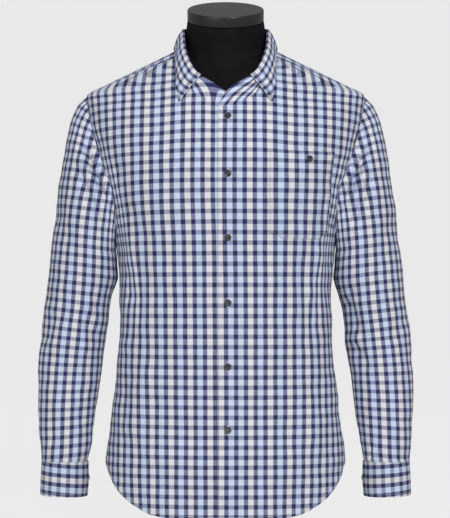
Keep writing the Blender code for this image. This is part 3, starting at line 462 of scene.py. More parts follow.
# --- The check: repeats of one dark and one light stripe, counted from the middle of a dark stripe ---
# row is the count of repeats at a height on the centre front; the starts are where a dark stripe runs
CHECK = table("height row across left_start right_start widen", (
    (0.0400, -23.73, 0.01505, 0.0013, -0.0006, 0.000),
    (0.0816, -21.00, 0.01510, 0.0012, -0.0007, 0.010),
    (0.1881, -14.00, 0.01520, 0.0012, -0.0009, 0.025),
    (0.2960, -7.00, 0.01530, 0.0008, -0.0012, 0.040),
    (0.4076, 0.00, 0.01540, 0.0002, -0.0018, 0.045),
    (0.4890, 5.00, 0.01560, -0.0012, -0.0024, 0.055),
    (0.5702, 10.00, 0.01570, -0.0020, -0.0043, 0.065),
    (0.6326, 14.00, 0.01555, -0.0016, -0.0044, 0.070),
    (0.6778, 17.00, 0.01535, -0.0010, -0.0044, 0.085),
    (0.7209, 20.00, 0.01530, -0.0008, -0.0043, 0.085),
))
FOLD_CLOTH = table("height x repeats", (
    (0.3300, 0.1250, 0.0),
    (0.4000, 0.1310, 0.8),
    (0.4314, 0.1344, 1.2),
    (0.4828, 0.1453, 1.9),
    (0.5090, 0.1515, 2.0),
    (0.5745, 0.1650, 1.8),
    (0.6387, 0.1826, 1.0),
    (0.6800, 0.1950, 0.0),
))
FOLD_CLOTH_WIDTH = 0.0260  # width over which the cloth hidden in folds is taken up
WIDEN_FROM = 0.0600     # beyond this distance from the middle the repeat across is wider by that share
DROOP = 0.25            # repeats by which the rows hang at the outer chest, which begins here:
DROOP_Z = 0.58
DROOP_RISE = 0.08
DROOP_X = 0.05
DROOP_WIDTH = 0.07
ACROSS = 0.0157         # repeat across the warp on the other pieces
ALONG = 0.0162          # repeat along the warp
DARK_SHARE = 0.440      # part of a repeat that is dark
BLUR_SHARE = 0.045      # part of a repeat over which dark turns to pale
BAND_END = 0.0146       # width from the middle over which the buttoned band shifts the colours by a stripe
THREADS = 44.0          # threads in one repeat
CLOSING_JUMP = 4        # a face whose columns differ by more closes a sleeve
BACK_ROW_START = 0.2
YOKE_START = 0.3
YOKE_STRIPE = 6.10      # the check's count at the yoke's front seam
YOKE_STRIPES_END = 0.0500   # how far from it the stripes follow it
SLEEVE_ACROSS = 0.0150
SLEEVE_ALONG = 0.0149
SLEEVE_START = (0.35, -0.44)
ELBOW_RUN = 0.250       # length up from the cuff; above it the columns follow the outer line
OUTER_LINE_EASE = 0.040 # length over which the outer line's bends are evened out
OVAL_STEPS = 24
PLACKET_START = 0.3
CUFF_ROW_Z = 0.1379     # height of the middle of a dark stripe on the cuffs
CUFF_ROW_TILT = 0.0030  # how much higher it is at the outer side
CUFF_REPEAT = 0.0148
CUFF_ALONG = 0.0150
CUFF_START = 0.96
STAND_EDGE_LEFT = -1.10     # counts at the stand's upper edge
STAND_EDGE_RIGHT = -0.90
LEAF_FOLD_SHARE = 0.32  # part of the leaf's rows before its fold
LEAF_STRIPE = 0.0030    # distance from the fold to the middle of its first pale stripe
LEAF_ACROSS = 0.0115    # its repeat, as narrow as it looks on the sloping leaf
NECK_CHECK = {}         # for each side, heights along the neckline and the check's counts there

COLOURS = {
    "dark_dark": (41, 44, 84),
    "dark_pale": (117, 121, 150),
    "blue_dark": (137, 148, 175),
    "ivory_dark": (152, 154, 169),
    "blue_pale": (197, 209, 229),
    "ivory_pale": (217, 217, 220),
    "pale_thread": (196, 202, 216),
    "blue_thread": (128, 138, 170),
    "navy_thread": (58, 62, 96),
    "resin": (38, 38, 40),
    "resin_cloud": (96, 95, 96),
    "resin_streak": (38, 37, 38),
    "jersey": (9, 9, 11),
    "jersey_pale": (15, 15, 18),
    "form_cap_satin": (30, 29, 29),
    "form_stand_coat": (34, 34, 36),
    "paper": (96, 96, 96),
    "paper_pale": (98, 98, 98),
}
KNIT_ROW = 0.0011       # height of one row of the jersey's knit

# --- Camera and light ---
CAMERA_AT = (-0.0010, -3.1000, 0.4050)
CAMERA_PITCH = math.radians(1.13)
IMAGE_LONG_SIDE_PX = 518
FOCAL_PX = 1929
SENSOR_MM = 36.0
LIGHTS = (
    # name, place, target, size, watts
    ("key", (1.5, -3.9, 1.8), (0, 0, 0.32), (1.0, 1.0), 104),
    ("fill", (-2.3, -3.7, 0.7), (0, 0, 0.30), (1.4, 1.4), 54),
    ("top", (0.0, -0.6, 3.0), (0, 0, 0.4), (1.2, 0.8), 6),
)
ROOM_LIGHT = 0.34
BACKDROP_GLOW = 0.765
FLOOR_REACH = 60.0      # so far forward and to both sides
WALL_FOOT_Y = 9.0
WALL_TOP_Z = 12.0
SWEEP = 2.0             # radius between floor and wall


# ===== Curves and lengths =====
def read(tab, column, at):
    """Reads a column on a smooth line through the table's rows, with no overshoot between them."""
    xs = tab[next(iter(tab))]
    ys = tab[column]
    at = np.asarray(at, float)
    step = np.diff(xs)
    slope = np.diff(ys) / step
    lean = np.zeros(len(xs))
    lean[0] = slope[0]
    lean[-1] = slope[-1]
    for k in range(1, len(xs) - 1):
        if slope[k - 1] * slope[k] > 0:
            before = 2 * step[k] + step[k - 1]
            after = step[k] + 2 * step[k - 1]
            lean[k] = (before + after) / (before / slope[k - 1] + after / slope[k])
    k = np.clip(np.searchsorted(xs, at) - 1, 0, len(step) - 1)
    f = np.clip((at - xs[k]) / step[k], 0, 1)
    ends = ys[k] * (1 + 2 * f) * (1 - f) ** 2 + ys[k + 1] * (3 - 2 * f) * f * f
    return ends + step[k] * (lean[k] * f * (1 - f) ** 2 - lean[k + 1] * f * f * (1 - f))


def read_all(tab, at):
    """Reads every column but the first, which runs along the table."""
    return [read(tab, name, at) for name in list(tab)[1:]]


def ease(f):
    """Runs smoothly from 0 at f = 0 to 1 at f = 1."""
    f = np.clip(f, 0, 1)
    return f * f * (3 - 2 * f)


def bell(distance, width):
    """1 on a line, falling to 0 beside it."""
    return np.exp(-((distance / width) ** 2))


def points(x, y, z):
    """Joins three arrays into one array of points."""
    return np.stack(np.broadcast_arrays(x, y, z), axis=-1)


def unit(v):
    """The same directions with length one."""
    return v / np.maximum(np.linalg.norm(v, axis=-1, keepdims=True), 1e-12)


def dot(a, b):
    """The scalar product of the last axis."""
    return (a * b).sum(axis=-1)


def lengths(grid, axis=0):
    """Length from the first point along an axis of a grid of points to each of the others."""
    run = np.cumsum(np.linalg.norm(np.diff(grid, axis=axis), axis=-1), axis=axis)
    return np.concatenate([np.zeros_like(np.take(run, [0], axis)), run], axis=axis)


def between(grid, row, col):
    """Reads a grid of numbers between its rows and columns."""
    row = np.clip(row, 0, grid.shape[0] - 1.001)
    col = np.clip(col, 0, grid.shape[1] - 1.001)
    r = row.astype(int)
    c = col.astype(int)
    part = col - c
    near = grid[r, c] * (1 - part) + grid[r, c + 1] * part
    far = grid[r + 1, c] * (1 - part) + grid[r + 1, c + 1] * part
    return near * (1 - (row - r)) + far * (row - r)


def smooth_line(values, count):
    """Draws a smooth curve through values along their first axis and reads count points from it."""
    values = np.asarray(values, float)
    t = np.linspace(0, len(values) - 1, count)
    k = np.clip(t.astype(int), 0, len(values) - 2)
    f = (t - k).reshape((-1,) + (1,) * (values.ndim - 1))
    padded = np.concatenate([[2 * values[0] - values[1]], values, [2 * values[-1] - values[-2]]])
    a, b, c, d = padded[k], padded[k + 1], padded[k + 2], padded[k + 3]
    return b + 0.5 * f * (c - a + f * (2 * a - 5 * b + 4 * c - d + f * (3 * (b - c) + d - a)))


def smooth_grid(grid, rows, cols):
    """A finer grid on a smooth surface through a coarse one."""
    return np.swapaxes(smooth_line(np.swapaxes(smooth_line(grid, rows), 0, 1), cols), 0, 1)


def grid_normals(grid, like):
    """Normals of a grid of points, on the side that like points to."""
    out = unit(np.cross(np.gradient(grid, axis=0), np.gradient(grid, axis=1)))
    return out * np.where(dot(out, like) < 0, -1.0, 1.0)[..., None]


# ===== Folds =====
def fold_depth(rows, x, z):
    """How far folds move the cloth out (or in, below zero) at places seen from the front or back."""
    moved = np.zeros(np.broadcast(x, z).shape)
    for row in rows:
        x0, z0, x1, z1, width, depth = [value / 1000 for value in row]
        length = math.hypot(x1 - x0, z1 - z0)
        run_x = (x1 - x0) / length
        run_z = (z1 - z0) / length
        along = ((x - x0) * run_x + (z - z0) * run_z) / length
        ends = ease(along * FOLD_ENDS) * ease((1 - along) * FOLD_ENDS)
        moved = moved + depth * ends * bell((x - x0) * run_z - (z - z0) * run_x, width)
    return moved


def uneven(x, z, shift):
    """Slow unevenness, different for each piece's shift."""
    moved = np.zeros(np.broadcast(x, z).shape)
    for across, up, start, height in UNEVEN:
        moved = moved + height * np.sin(2 * math.pi * (across * x + up * z) + start + shift * (1 + start))
    return moved


def pucker(kind, distance, along):
    """Small puckers beside a line of stitches."""
    height, wave, reach = PUCKERS[kind]
    return height * np.sin(along * 2 * math.pi / wave + 1.7 * np.sin(along * 47)) * bell(distance, reach)


# ===== The body's skin =====
def oval(angle, half, front, back, power):
    """A point of a level section, at an angle from the centre front towards +X."""
    s = np.sin(angle)
    c = np.cos(angle)
    depth = np.where(c > 0, front, back)
    return half * np.sign(s) * np.abs(s) ** power, -depth * np.sign(c) * np.abs(c) ** power


def body_plain(angle, height):
    """The body without its folds."""
    return points(*oval(angle, *read_all(BODY, height)), height)


def normals(surface, u, v, du, dv):
    """Outward normals of a surface given as a function of two arrays."""
    along_u = surface(u + du, v) - surface(u - du, v)
    along_v = surface(u, v + dv) - surface(u, v - dv)
    return unit(np.cross(along_u, along_v))


def body_shaped(angle, height, front_folds, back_folds, uneven_share):
    """The body moved out or in by folds on its front and on its back."""
    plain = body_plain(angle, height)
    x = plain[..., 0]
    z = plain[..., 2]
    moved = ease(np.cos(angle) * FRONT_BLEND) * fold_depth(front_folds, x, z)
    moved = moved + ease(-np.cos(angle) * FRONT_BLEND) * fold_depth(back_folds, x, z)
    moved = moved + uneven_share * uneven(x, z, 0.0) * ease((NECK_FRONT_Z - z) / UNEVEN_END)
    return plain + normals(body_plain, angle, height, 0.01, 0.001) * moved[..., None]


def body(angle, height):
    """The outer face of the body's solids, which collar and buttons are set on."""
    return body_shaped(angle, height, BODY_FRONT_FOLDS, BODY_BACK_FOLDS, 0.0)


def skin(angle, height):
    """The outer face of the cloth, with its finer creases."""
    return body_shaped(angle, height, BODY_FRONT_FOLDS + FRONT_CREASES, BODY_BACK_FOLDS + BACK_CREASES, 1.0)


def body_normals(angle, height):
    """Outward directions on the solids."""
    return normals(body, angle, height, 0.01, 0.001)


def skin_normals(angle, height):
    """Outward directions on the cloth."""
    return normals(skin, angle, height, 0.005, 0.0006)


def angle_at_x(x, height, rear=False):
    """The angle at which a level section has this half-width, on its front or on its rear."""
    share = np.clip(np.abs(x) / read(BODY, "half_width", height), 0, 1) ** (1 / read(BODY, "power", height))
    angle = np.sign(x) * np.arcsin(share)
    return np.sign(x) * math.pi - angle if rear else angle


def section_run(start, end, height):
    """Angles along a level section, and how far each is from the start along it."""
    fine = np.linspace(start, end, 241)
    return fine, lengths(body_plain(fine, np.full(fine.shape, height)))


def spread(start, end, height, count):
    """Angles from start to end that are evenly spaced along the section at this height."""
    fine, run = section_run(start, end, height)
    return np.interp(np.linspace(0, run[-1], count + 1), run, fine)


def step_angle(angle, height, distance):
    """The angle a short distance further along the section."""
    here = body_plain(np.array([angle - 0.01, angle + 0.01]), np.full(2, height))
    return angle + 0.02 * distance / np.linalg.norm(here[1] - here[0])


def wrap(angle):
    """Angles beyond the centre back as negative ones."""
    return np.where(angle > math.pi, angle - 2 * math.pi, angle)


def hem_height(angle):
    """The hem's height round the body."""
    return read(HEM, "height", np.degrees(np.abs(wrap(angle))))


def measured_across(angle, height):
    """Distance along level sections from the centre front, positive towards +X."""
    levels = np.linspace(height.min(), height.max(), 90)
    fine = np.linspace(0, math.pi, 241)
    run = lengths(body_plain(*np.meshgrid(fine, levels)), 1)
    row = (height - levels[0]) / (levels[1] - levels[0])
    return np.sign(angle) * between(run, row, np.abs(angle) / fine[1])


def measured_up(grid, across, known_row):
    """Distance along the warp from one row, so that the cloth keeps its lengths."""
    gap = np.diff(grid, axis=0)
    rise = np.sqrt(np.maximum(dot(gap, gap) - np.diff(across, axis=0) ** 2, 0))
    up = np.concatenate([np.zeros((1, across.shape[1])), np.cumsum(rise, axis=0)])
    return up - up[known_row]


# ===== Meshes =====
def add_mesh(name, verts, quads, material, uv=None):
    """A smooth mesh of four-sided faces; uv gives two numbers for each corner of each face."""
    mesh = bpy.data.meshes.new(name)
    verts = np.asarray(verts, np.float32)
    quads = np.asarray(quads, np.int32)
    mesh.vertices.add(len(verts))
    mesh.vertices.foreach_set("co", verts.ravel())
    mesh.loops.add(quads.size)
    mesh.loops.foreach_set("vertex_index", quads.ravel())
    mesh.polygons.add(len(quads))
    mesh.polygons.foreach_set("loop_start", np.arange(0, quads.size, 4, dtype=np.int32))
    mesh.update(calc_edges=True)
    mesh.validate()
    if uv is not None:
        layer = mesh.uv_layers.new(name="cloth")
        layer.data.foreach_set("uv", np.asarray(uv, np.float32).ravel())
    mesh.shade_smooth()
    mesh.set_sharp_from_angle(angle=SHARP_ANGLE)
    mesh.materials.append(material)
    piece = bpy.data.objects.new(name, mesh)
    bpy.context.scene.collection.objects.link(piece)
    return piece


def finish_piece(piece, slot, *nodes):
    """Gives a piece its body and hides the nodes that it stands for; slot is not used."""
    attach(piece, "root")
    if nodes:
        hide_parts(*nodes)


def grid_quads(rows, cols, start=0, round_=True, flip=False):
    """Corners of the faces between the points of a grid stored row by row."""
    r, c = np.meshgrid(np.arange(rows - 1), np.arange(cols if round_ else cols - 1), indexing="ij")
    here = start + r * cols + c
    beside = start + r * cols + (c + 1) % cols
    corners = [here, beside, beside + cols, here + cols]
    if flip:
        corners = [corners[k] for k in (0, 3, 2, 1)]
    return np.stack(corners, axis=-1).reshape(-1, 4)


def cap_quads(rows, cols):
    """Strips that shut the first and the last ring of a grid with an even count of columns."""
    fan = np.array([[k, k + 1, cols - 2 - k, cols - 1 - k] for k in range(cols // 2 - 1)])
    return np.concatenate([fan[:, ::-1], fan + (rows - 1) * cols])


def rim_quads(rows, cols, round_):
    """Faces that join the rims of the outer grid to those of the inner one."""
    index = np.arange(rows * cols).reshape(rows, cols)
    loops = [np.concatenate([index[0, ::-1], index[1:, 0], index[-1, 1:], index[-2:0:-1, -1]])]
    if round_:
        loops = [index[0][::-1], index[-1]]
    count = rows * cols
    sides = [(np.roll(loop, -1), loop, count + loop, count + np.roll(loop, -1)) for loop in loops]
    return np.concatenate([np.stack(side, axis=-1) for side in sides])


def add_cloth(node, outer, out, tex, thick=SHELL, round_=False, band=None):
    """A shell of checked cloth below an outer grid; tex holds the check's two counts for each point."""
    rows, cols = outer.shape[:2]
    turned = dot(np.cross(outer[1, 0] - outer[0, 0], outer[0, 1] - outer[0, 0]), out[0, 0]) > 0
    rim = rim_quads(rows, cols, round_)
    quads = np.concatenate([grid_quads(rows, cols, 0, round_, turned),
                            grid_quads(rows, cols, rows * cols, round_, not turned),
                            rim[:, ::-1] if turned else rim])
    verts = np.concatenate([outer.reshape(-1, 3), (outer - out * thick).reshape(-1, 3)])
    uv = np.tile(tex.reshape(-1, 2), (2, 1))[quads]
    if round_:      # the faces between the last column and the first keep the count of the nearer one
        low = uv[:, :, 0].min(axis=1)[:, None]
        uv[..., 0] = np.where(uv[..., 0] > low + CLOSING_JUMP, low, uv[..., 0])
    if band is not None:
        uv[..., 0] = uv[..., 0] - (verts[quads][:, :, 0].mean(axis=1) < band)[:, None]
    piece = add_mesh(node + "_cloth", verts, quads, MATERIALS["checked_cotton"], uv)
    finish_piece(piece, "checked_cotton", node)
    return piece


# ===== Materials =====
class Graph:
    """A material's node tree with short ways to add nodes."""

    def __init__(self, name):
        self.material = bpy.data.materials.new(name)
        self.material.use_nodes = True
        self.tree = self.material.node_tree
        self.shader = self.tree.nodes["Principled BSDF"]

    def add(self, kind, inputs=None, **settings):
        """A node with its settings and the values or links of its inputs."""
        node = self.tree.nodes.new(kind)
        for key, value in settings.items():
            setattr(node, key, value)
        for key, value in (inputs or {}).items():
            self.set(node.inputs[key], value)
        return node

    def set(self, socket, value):
        """Links a socket or gives it a constant."""
        if isinstance(value, bpy.types.NodeSocket):
            self.tree.links.new(value, socket)
        else:
            socket.default_value = value

    def finish(self, colour, normal, constants):
        """Sets the shader's colour, normal and constants."""
        for key, value in {"Base Color": colour, "Normal": normal, **constants}.items():
            if value is not None:
                self.set(self.shader.inputs[key], value)
        return self.material

    def place(self):
        """The place on the object."""
        return self.add("ShaderNodeTexCoord").outputs["Object"]

    def math(self, kind, a, b=0.0, c=0.0):
        """Arithmetic."""
        return self.add("ShaderNodeMath", {0: a, 1: b, 2: c}, operation=kind).outputs[0]

    def mix(self, factor, a, b, kind="MIX"):
        """A blend of two colours."""
        node = self.add("ShaderNodeMix", data_type="RGBA", blend_type=kind)
        for key, value in (("Factor", factor), ("A", a), ("B", b)):
            self.set(node.inputs[key], value)
        return node.outputs["Result"]

    def ramp(self, value, low, high, to_low=0.0, to_high=1.0):
        """Runs smoothly between two values."""
        inputs = {"Value": value, "From Min": low, "From Max": high, "To Min": to_low, "To Max": to_high}
        return self.add("ShaderNodeMapRange", inputs, interpolation_type="SMOOTHSTEP").outputs["Result"]

    def noise(self, place, scale, detail=2.0, roughness=0.5):
        """Clouds of this scale, 0 to 1."""
        inputs = {"Vector": place, "Scale": scale, "Detail": detail, "Roughness": roughness}
        return self.add("ShaderNodeTexNoise", inputs).outputs["Fac"]

    def bump(self, height, distance, strength=1.0, normal=None):
        """Fine relief, over another one where a normal is given."""
        node = self.add("ShaderNodeBump", {"Height": height, "Distance": distance, "Strength": strength})
        if normal is not None:
            self.set(node.inputs["Normal"], normal)
        return node.outputs["Normal"]


def srgb(colour):
    """A colour given as it shows on a screen, 0 to 255, for a shader."""
    values = np.array(COLOURS[colour]) / 255.0
    linear = np.where(values <= 0.04045, values / 12.92, ((values + 0.055) / 1.055) ** 2.4)
    return (*[float(v) for v in linear], 1.0)


def make_checked_cotton():
    """Plain weave with a navy check; the warp's pale stripes are light blue and ivory in turn."""
    g = Graph("checked_cotton")
    place = g.add("ShaderNodeUVMap", uv_map="cloth").outputs["UV"]
    counts = g.add("ShaderNodeSeparateXYZ", {0: place}).outputs[:2]
    half = DARK_SHARE / 2
    wander = g.math("MULTIPLY", g.math("SUBTRACT", g.noise(place, 9.0), 0.5), 0.030)
    dark = []
    for count in counts:
        away = g.math("PINGPONG", g.math("ADD", count, wander), 0.5)
        dark.append(g.ramp(away, half - BLUR_SHARE, half + BLUR_SHARE, 1.0, 0.0))
    ivory = g.math("COMPARE", g.math("FLOORED_MODULO", g.math("FLOOR", counts[0]), 2.0), 0.0, 0.5)
    pale = g.mix(dark[1], g.mix(ivory, srgb("blue_pale"), srgb("ivory_pale")),
                 g.mix(ivory, srgb("blue_dark"), srgb("ivory_dark")))
    colour = g.mix(dark[0], pale, g.mix(dark[1], srgb("dark_pale"), srgb("dark_dark")))
    slubs = []
    for stretch in ((THREADS, 1.3, 1.0), (1.3, THREADS, 1.0)):
        line = g.add("ShaderNodeVectorMath", {0: place, 1: stretch}, operation="MULTIPLY").outputs[0]
        slubs.append(g.math("MULTIPLY", g.noise(line, 1.0, 1.0), 0.5))
    shade = g.ramp(g.math("ADD", *slubs), 0.2, 0.8, 0.90, 1.10)
    tone = g.add("ShaderNodeCombineXYZ", {0: shade, 1: shade, 2: shade}).outputs[0]
    waves = [g.math("SINE", g.math("MULTIPLY", count, THREADS * math.pi)) for count in counts]
    soft = g.bump(g.noise(place, 3.1, 3.0, 0.6), 0.0007, 0.35)
    weave = g.bump(g.math("MULTIPLY", *waves), 0.00006, 0.5, soft)
    sheen = {"Sheen Weight": 0.04, "Sheen Roughness": 0.45}
    return g.finish(g.mix(1.0, colour, tone, "MULTIPLY"), weave,
                    {"Roughness": 0.86, "Specular IOR Level": 0.15, **sheen})


def make_thread(name):
    """Spun sewing thread with its twist."""
    g = Graph(name)
    colour = srgb(name)
    grain = g.noise(g.place(), 2600.0, 2.0)
    darker = tuple(0.72 * c for c in colour[:3]) + (1.0,)
    return g.finish(g.mix(g.ramp(grain, 0.3, 0.7), darker, colour), g.bump(grain, 0.0001, 0.6),
                    {"Roughness": 0.6, "Sheen Weight": 0.3})


def make_button():
    """Dark horn-effect resin with paler clouds."""
    g = Graph("button_resin")
    place = g.place()
    cloud = g.ramp(g.noise(place, 190.0, 3.0, 0.6), 0.42, 0.72)
    streak = g.ramp(g.noise(place, 620.0, 2.0), 0.45, 0.75)
    colour = g.mix(cloud, srgb("resin"), srgb("resin_cloud"))
    return g.finish(g.mix(g.math("MULTIPLY", streak, 0.5), colour, srgb("resin_streak")),
                    g.bump(g.noise(place, 900.0, 1.0), 0.00003, 0.4),
                    {"Roughness": 0.24, "Coat Weight": 0.5, "Coat Roughness": 0.12})


def make_jersey():
    """The form's black stretch cover: fine ribs of knit."""
    g = Graph("form_jersey")
    place = g.place()
    height = g.add("ShaderNodeSeparateXYZ", {0: place}).outputs[2]
    ribs = g.math("SINE", g.math("MULTIPLY", height, 2 * math.pi / KNIT_ROW))
    mottle = g.ramp(g.noise(place, 46.0, 3.0), 0.3, 0.7)
    soft = g.bump(g.noise(place, 900.0, 2.0), 0.0002, 0.4)
    return g.finish(g.mix(mottle, srgb("jersey"), srgb("jersey_pale")), g.bump(ribs, 0.00008, 0.3, soft),
                    {"Roughness": 0.78, "Specular IOR Level": 0.12})


def make_satin_black(name, roughness):
    """A dark satin surface with a faint grain."""
    g = Graph(name)
    place = g.place()
    colour = srgb(name)
    grain = g.ramp(g.noise(place, 260.0, 4.0, 0.65), 0.35, 0.75)
    paler = tuple(1.35 * c for c in colour[:3]) + (1.0,)
    return g.finish(g.mix(grain, colour, paler), g.bump(g.noise(place, 1400.0, 2.0), 0.00005, 0.35),
                    {"Roughness": roughness})


MATERIALS = {
    "checked_cotton": make_checked_cotton(),
    "pale_thread": make_thread("pale_thread"),
    "blue_thread": make_thread("blue_thread"),
    "navy_thread": make_thread("navy_thread"),
    "button": make_button(),
    "form_cover": make_jersey(),
    "form_cap": make_satin_black("form_cap_satin", 0.34),
    "form_stand": make_satin_black("form_stand_coat", 0.45),
}
STITCHED = {"pale_thread": [], "blue_thread": [], "navy_thread": []}


# ===== Stitches =====
def add_bars(thread, centre, normal, along, length, width):
    """Rounded bars of thread, one for each centre."""
    side = unit(np.cross(normal, along))
    rings = []
    for place, thick in STITCH_STATIONS:
        for k in range(STITCH_ROUND):
            turn = 2 * math.pi * (k + 0.5) / STITCH_ROUND
            rings.append(centre + along * (place * length)
                         + side * (math.cos(turn) * thick * width / 2 * 1.2)
                         + normal * (math.sin(turn) * thick * STITCH_HEIGHT / 2 * 1.2))
    STITCHED[thread].append(np.stack(rings, axis=1))


def sew(line, out, thread="pale_thread"):
    """Lays a row of even stitches along a line of points on the cloth."""
    run = lengths(line)
    step = STITCH_LENGTH + STITCH_GAP
    count = max(2, int(run[-1] / step))
    at = (np.arange(count) + 0.5) * run[-1] / count
    centre, normal, ahead, behind = [
        np.stack([np.interp(where, run, values[:, k]) for k in range(3)], axis=-1)
        for where, values in ((at, line), (at, out), (at + step * 0.3, line), (at - step * 0.3, line))]
    add_bars(thread, centre, unit(normal), unit(ahead - behind), STITCH_LENGTH, STITCH_WIDTH)


def sew_skin(angle, height, lift=THREAD_LIFT):
    """Stitches along a line on the body's cloth."""
    out = skin_normals(angle, height)
    sew(skin(angle, height) + out * lift, out)


def finish_stitches():
    """Joins all stitches of one thread into one mesh."""
    rings = len(STITCH_STATIONS)
    last = (rings - 1) * STITCH_ROUND
    caps = [[3, 2, 1, 0], [last, last + 1, last + 2, last + 3]]
    one = np.concatenate([grid_quads(rings, STITCH_ROUND), caps])
    for thread, groups in STITCHED.items():
        verts = np.concatenate(groups)
        start = np.arange(len(verts))[:, None, None] * rings * STITCH_ROUND
        quads = (start + one).reshape(-1, 4)
        piece = add_mesh(f"stitches_{thread}", verts.reshape(-1, 3), quads, MATERIALS[thread])
        finish_piece(piece, "checked_cotton")


# ===== Fronts, back and yoke =====
def count_for(length, step=STEP):
    """How many steps a length takes."""
    return max(2, int(round(length / step)))


def levels_between(low, high, step=STEP):
    """Evenly spaced heights."""
    return np.linspace(low, high, count_for(high - low, step) + 1)


def level_rows(start_of, end_of, levels, across):
    """Angles and heights of level rows between two edges given as functions of the height."""
    angles = [spread(start_of(level), end_of(level), level, across) for level in levels]
    return angles, [np.full(across + 1, level) for level in levels]


def low_rows(start_of, end_of, across):
    """Angles and heights of the rows from the hem to the underarm, and the row from which they are level."""
    angles = []
    heights = []
    hem_rows = count_for(STRAIGHT_Z - HEM["height"][0])
    for f in np.arange(hem_rows) / hem_rows:
        level = HEM_LEVEL + (STRAIGHT_Z - HEM_LEVEL) * f
        row = spread(start_of(level), end_of(level), level, across)
        angles.append(row)
        heights.append(hem_height(row) + (STRAIGHT_Z - hem_height(row)) * f)
    waist = levels_between(STRAIGHT_Z, UNDERARM_Z)[:-1]
    waist_angles, waist_heights = level_rows(start_of, end_of, waist, across)
    return angles + waist_angles, heights + waist_heights, hem_rows


def yoke_seam_x(height):
    """Half-width of the yoke's front seam."""
    share = (height - SHOULDER_Z) / (NECK_CORNER_Z - SHOULDER_Z)
    return read(BODY, "half_width", height) - YOKE_SETBACK * share


def front_outer_angle(level):
    """Angle of a front's outer edge: side seam, armhole or yoke seam."""
    if level < UNDERARM_Z:
        return step_angle(math.pi / 2, level, -SEAM / 2)
    x = read(ARMHOLE, "front_x", level) if level < SHOULDER_Z else yoke_seam_x(level)
    return float(angle_at_x(x, level))


def front_inner_angle(level, edge_x):
    """Angle of a front's inner edge: the buttoned edge, then the neckline."""
    on_neckline = level > NECK_FRONT_Z + 1e-6
    return float(angle_at_x(read(NECKLINE, "x", level) if on_neckline else edge_x, level))


def front_grid(edge_x, across):
    """Angles and heights of the left front, and of the right one before it is mirrored."""
    edges = (lambda z: front_inner_angle(z, edge_x), front_outer_angle)
    angles, heights, known = low_rows(*edges, across)
    breaks = (UNDERARM_Z, NECK_FRONT_Z, SHOULDER_Z, NECK_CORNER_Z)
    levels = [level for low, high in zip(breaks, breaks[1:]) for level in levels_between(low, high)[:-1]]
    high_angles, high_heights = level_rows(*edges, levels + [NECK_CORNER_Z], across)
    return np.array(angles + high_angles), np.array(heights + high_heights), known


def row_count(up):
    """The check's row at a distance along the warp of the fronts; up is measured from STRAIGHT_Z."""
    heights = np.linspace(CHECK["height"][0], CHECK["height"][-1], 200)
    run = lengths(body_plain(np.zeros(200), heights))
    run = run - np.interp(STRAIGHT_Z, heights, run)
    rows = read(CHECK, "row", heights)
    above = rows[-1] + (up - run[-1]) / ALONG
    below = rows[0] + (up - run[0]) / ALONG
    return np.where(up > run[-1], above, np.where(up < run[0], below, np.interp(up, run, rows)))


def droop(across, height):
    """Repeats by which the rows hang at the outer chest."""
    return DROOP * ease((height - DROOP_Z) / DROOP_RISE) * ease((np.abs(across) - DROOP_X) / DROOP_WIDTH)


def column_count(across, height, x, start_column):
    """The check's column at a distance from the centre front."""
    level = np.clip(height, CHECK["height"][0], CHECK["height"][-1])
    widen = read(CHECK, "widen", level)
    beyond = np.maximum(np.abs(across) - WIDEN_FROM, 0)
    narrowed = across - np.sign(across) * beyond * widen / (1 + widen)
    in_fold = np.clip(height, FOLD_CLOTH["height"][0], FOLD_CLOTH["height"][-1])
    past = np.abs(x) - read(FOLD_CLOTH, "x", in_fold)
    hidden = read(FOLD_CLOTH, "repeats", in_fold) * ease(past / FOLD_CLOTH_WIDTH)
    start = read(CHECK, start_column, level)
    return (narrowed - start) / read(CHECK, "across", level) + np.sign(across) * hidden


def under_lap(x):
    """How far the right front sinks below the left one."""
    return -UNDER * ease((x - SINK_START_X) / SINK_WIDTH)


def panel_lift(angle, height, far):
    """Relief of a front or the back: the turned hem with its groove and ripples, and the puckered sides."""
    above = height - hem_height(angle)
    x = body_plain(angle, height)[..., 0]
    lift = HEM_SWELL * ease((HEM_WIDTH - above) / 0.0015)
    lift = lift - HEM_GROOVE * bell(above - HEM_WIDTH + HEM_THREAD_INSET, 0.0010)
    ripple = HEM_RIPPLE * np.sin(x * 2 * math.pi / HEM_RIPPLE_WAVE + 2.1 * np.sin(x * 61))
    lift = lift + ripple * bell(above, 0.012)
    return lift + pucker("side", far, height) * ease((height - UNDERARM_Z) / 0.02)


def sew_hem(angle):
    """Stitches along the turned hem."""
    sew_skin(angle, hem_height(angle) + HEM_WIDTH - HEM_THREAD_INSET, HEM_THREAD_LIFT)


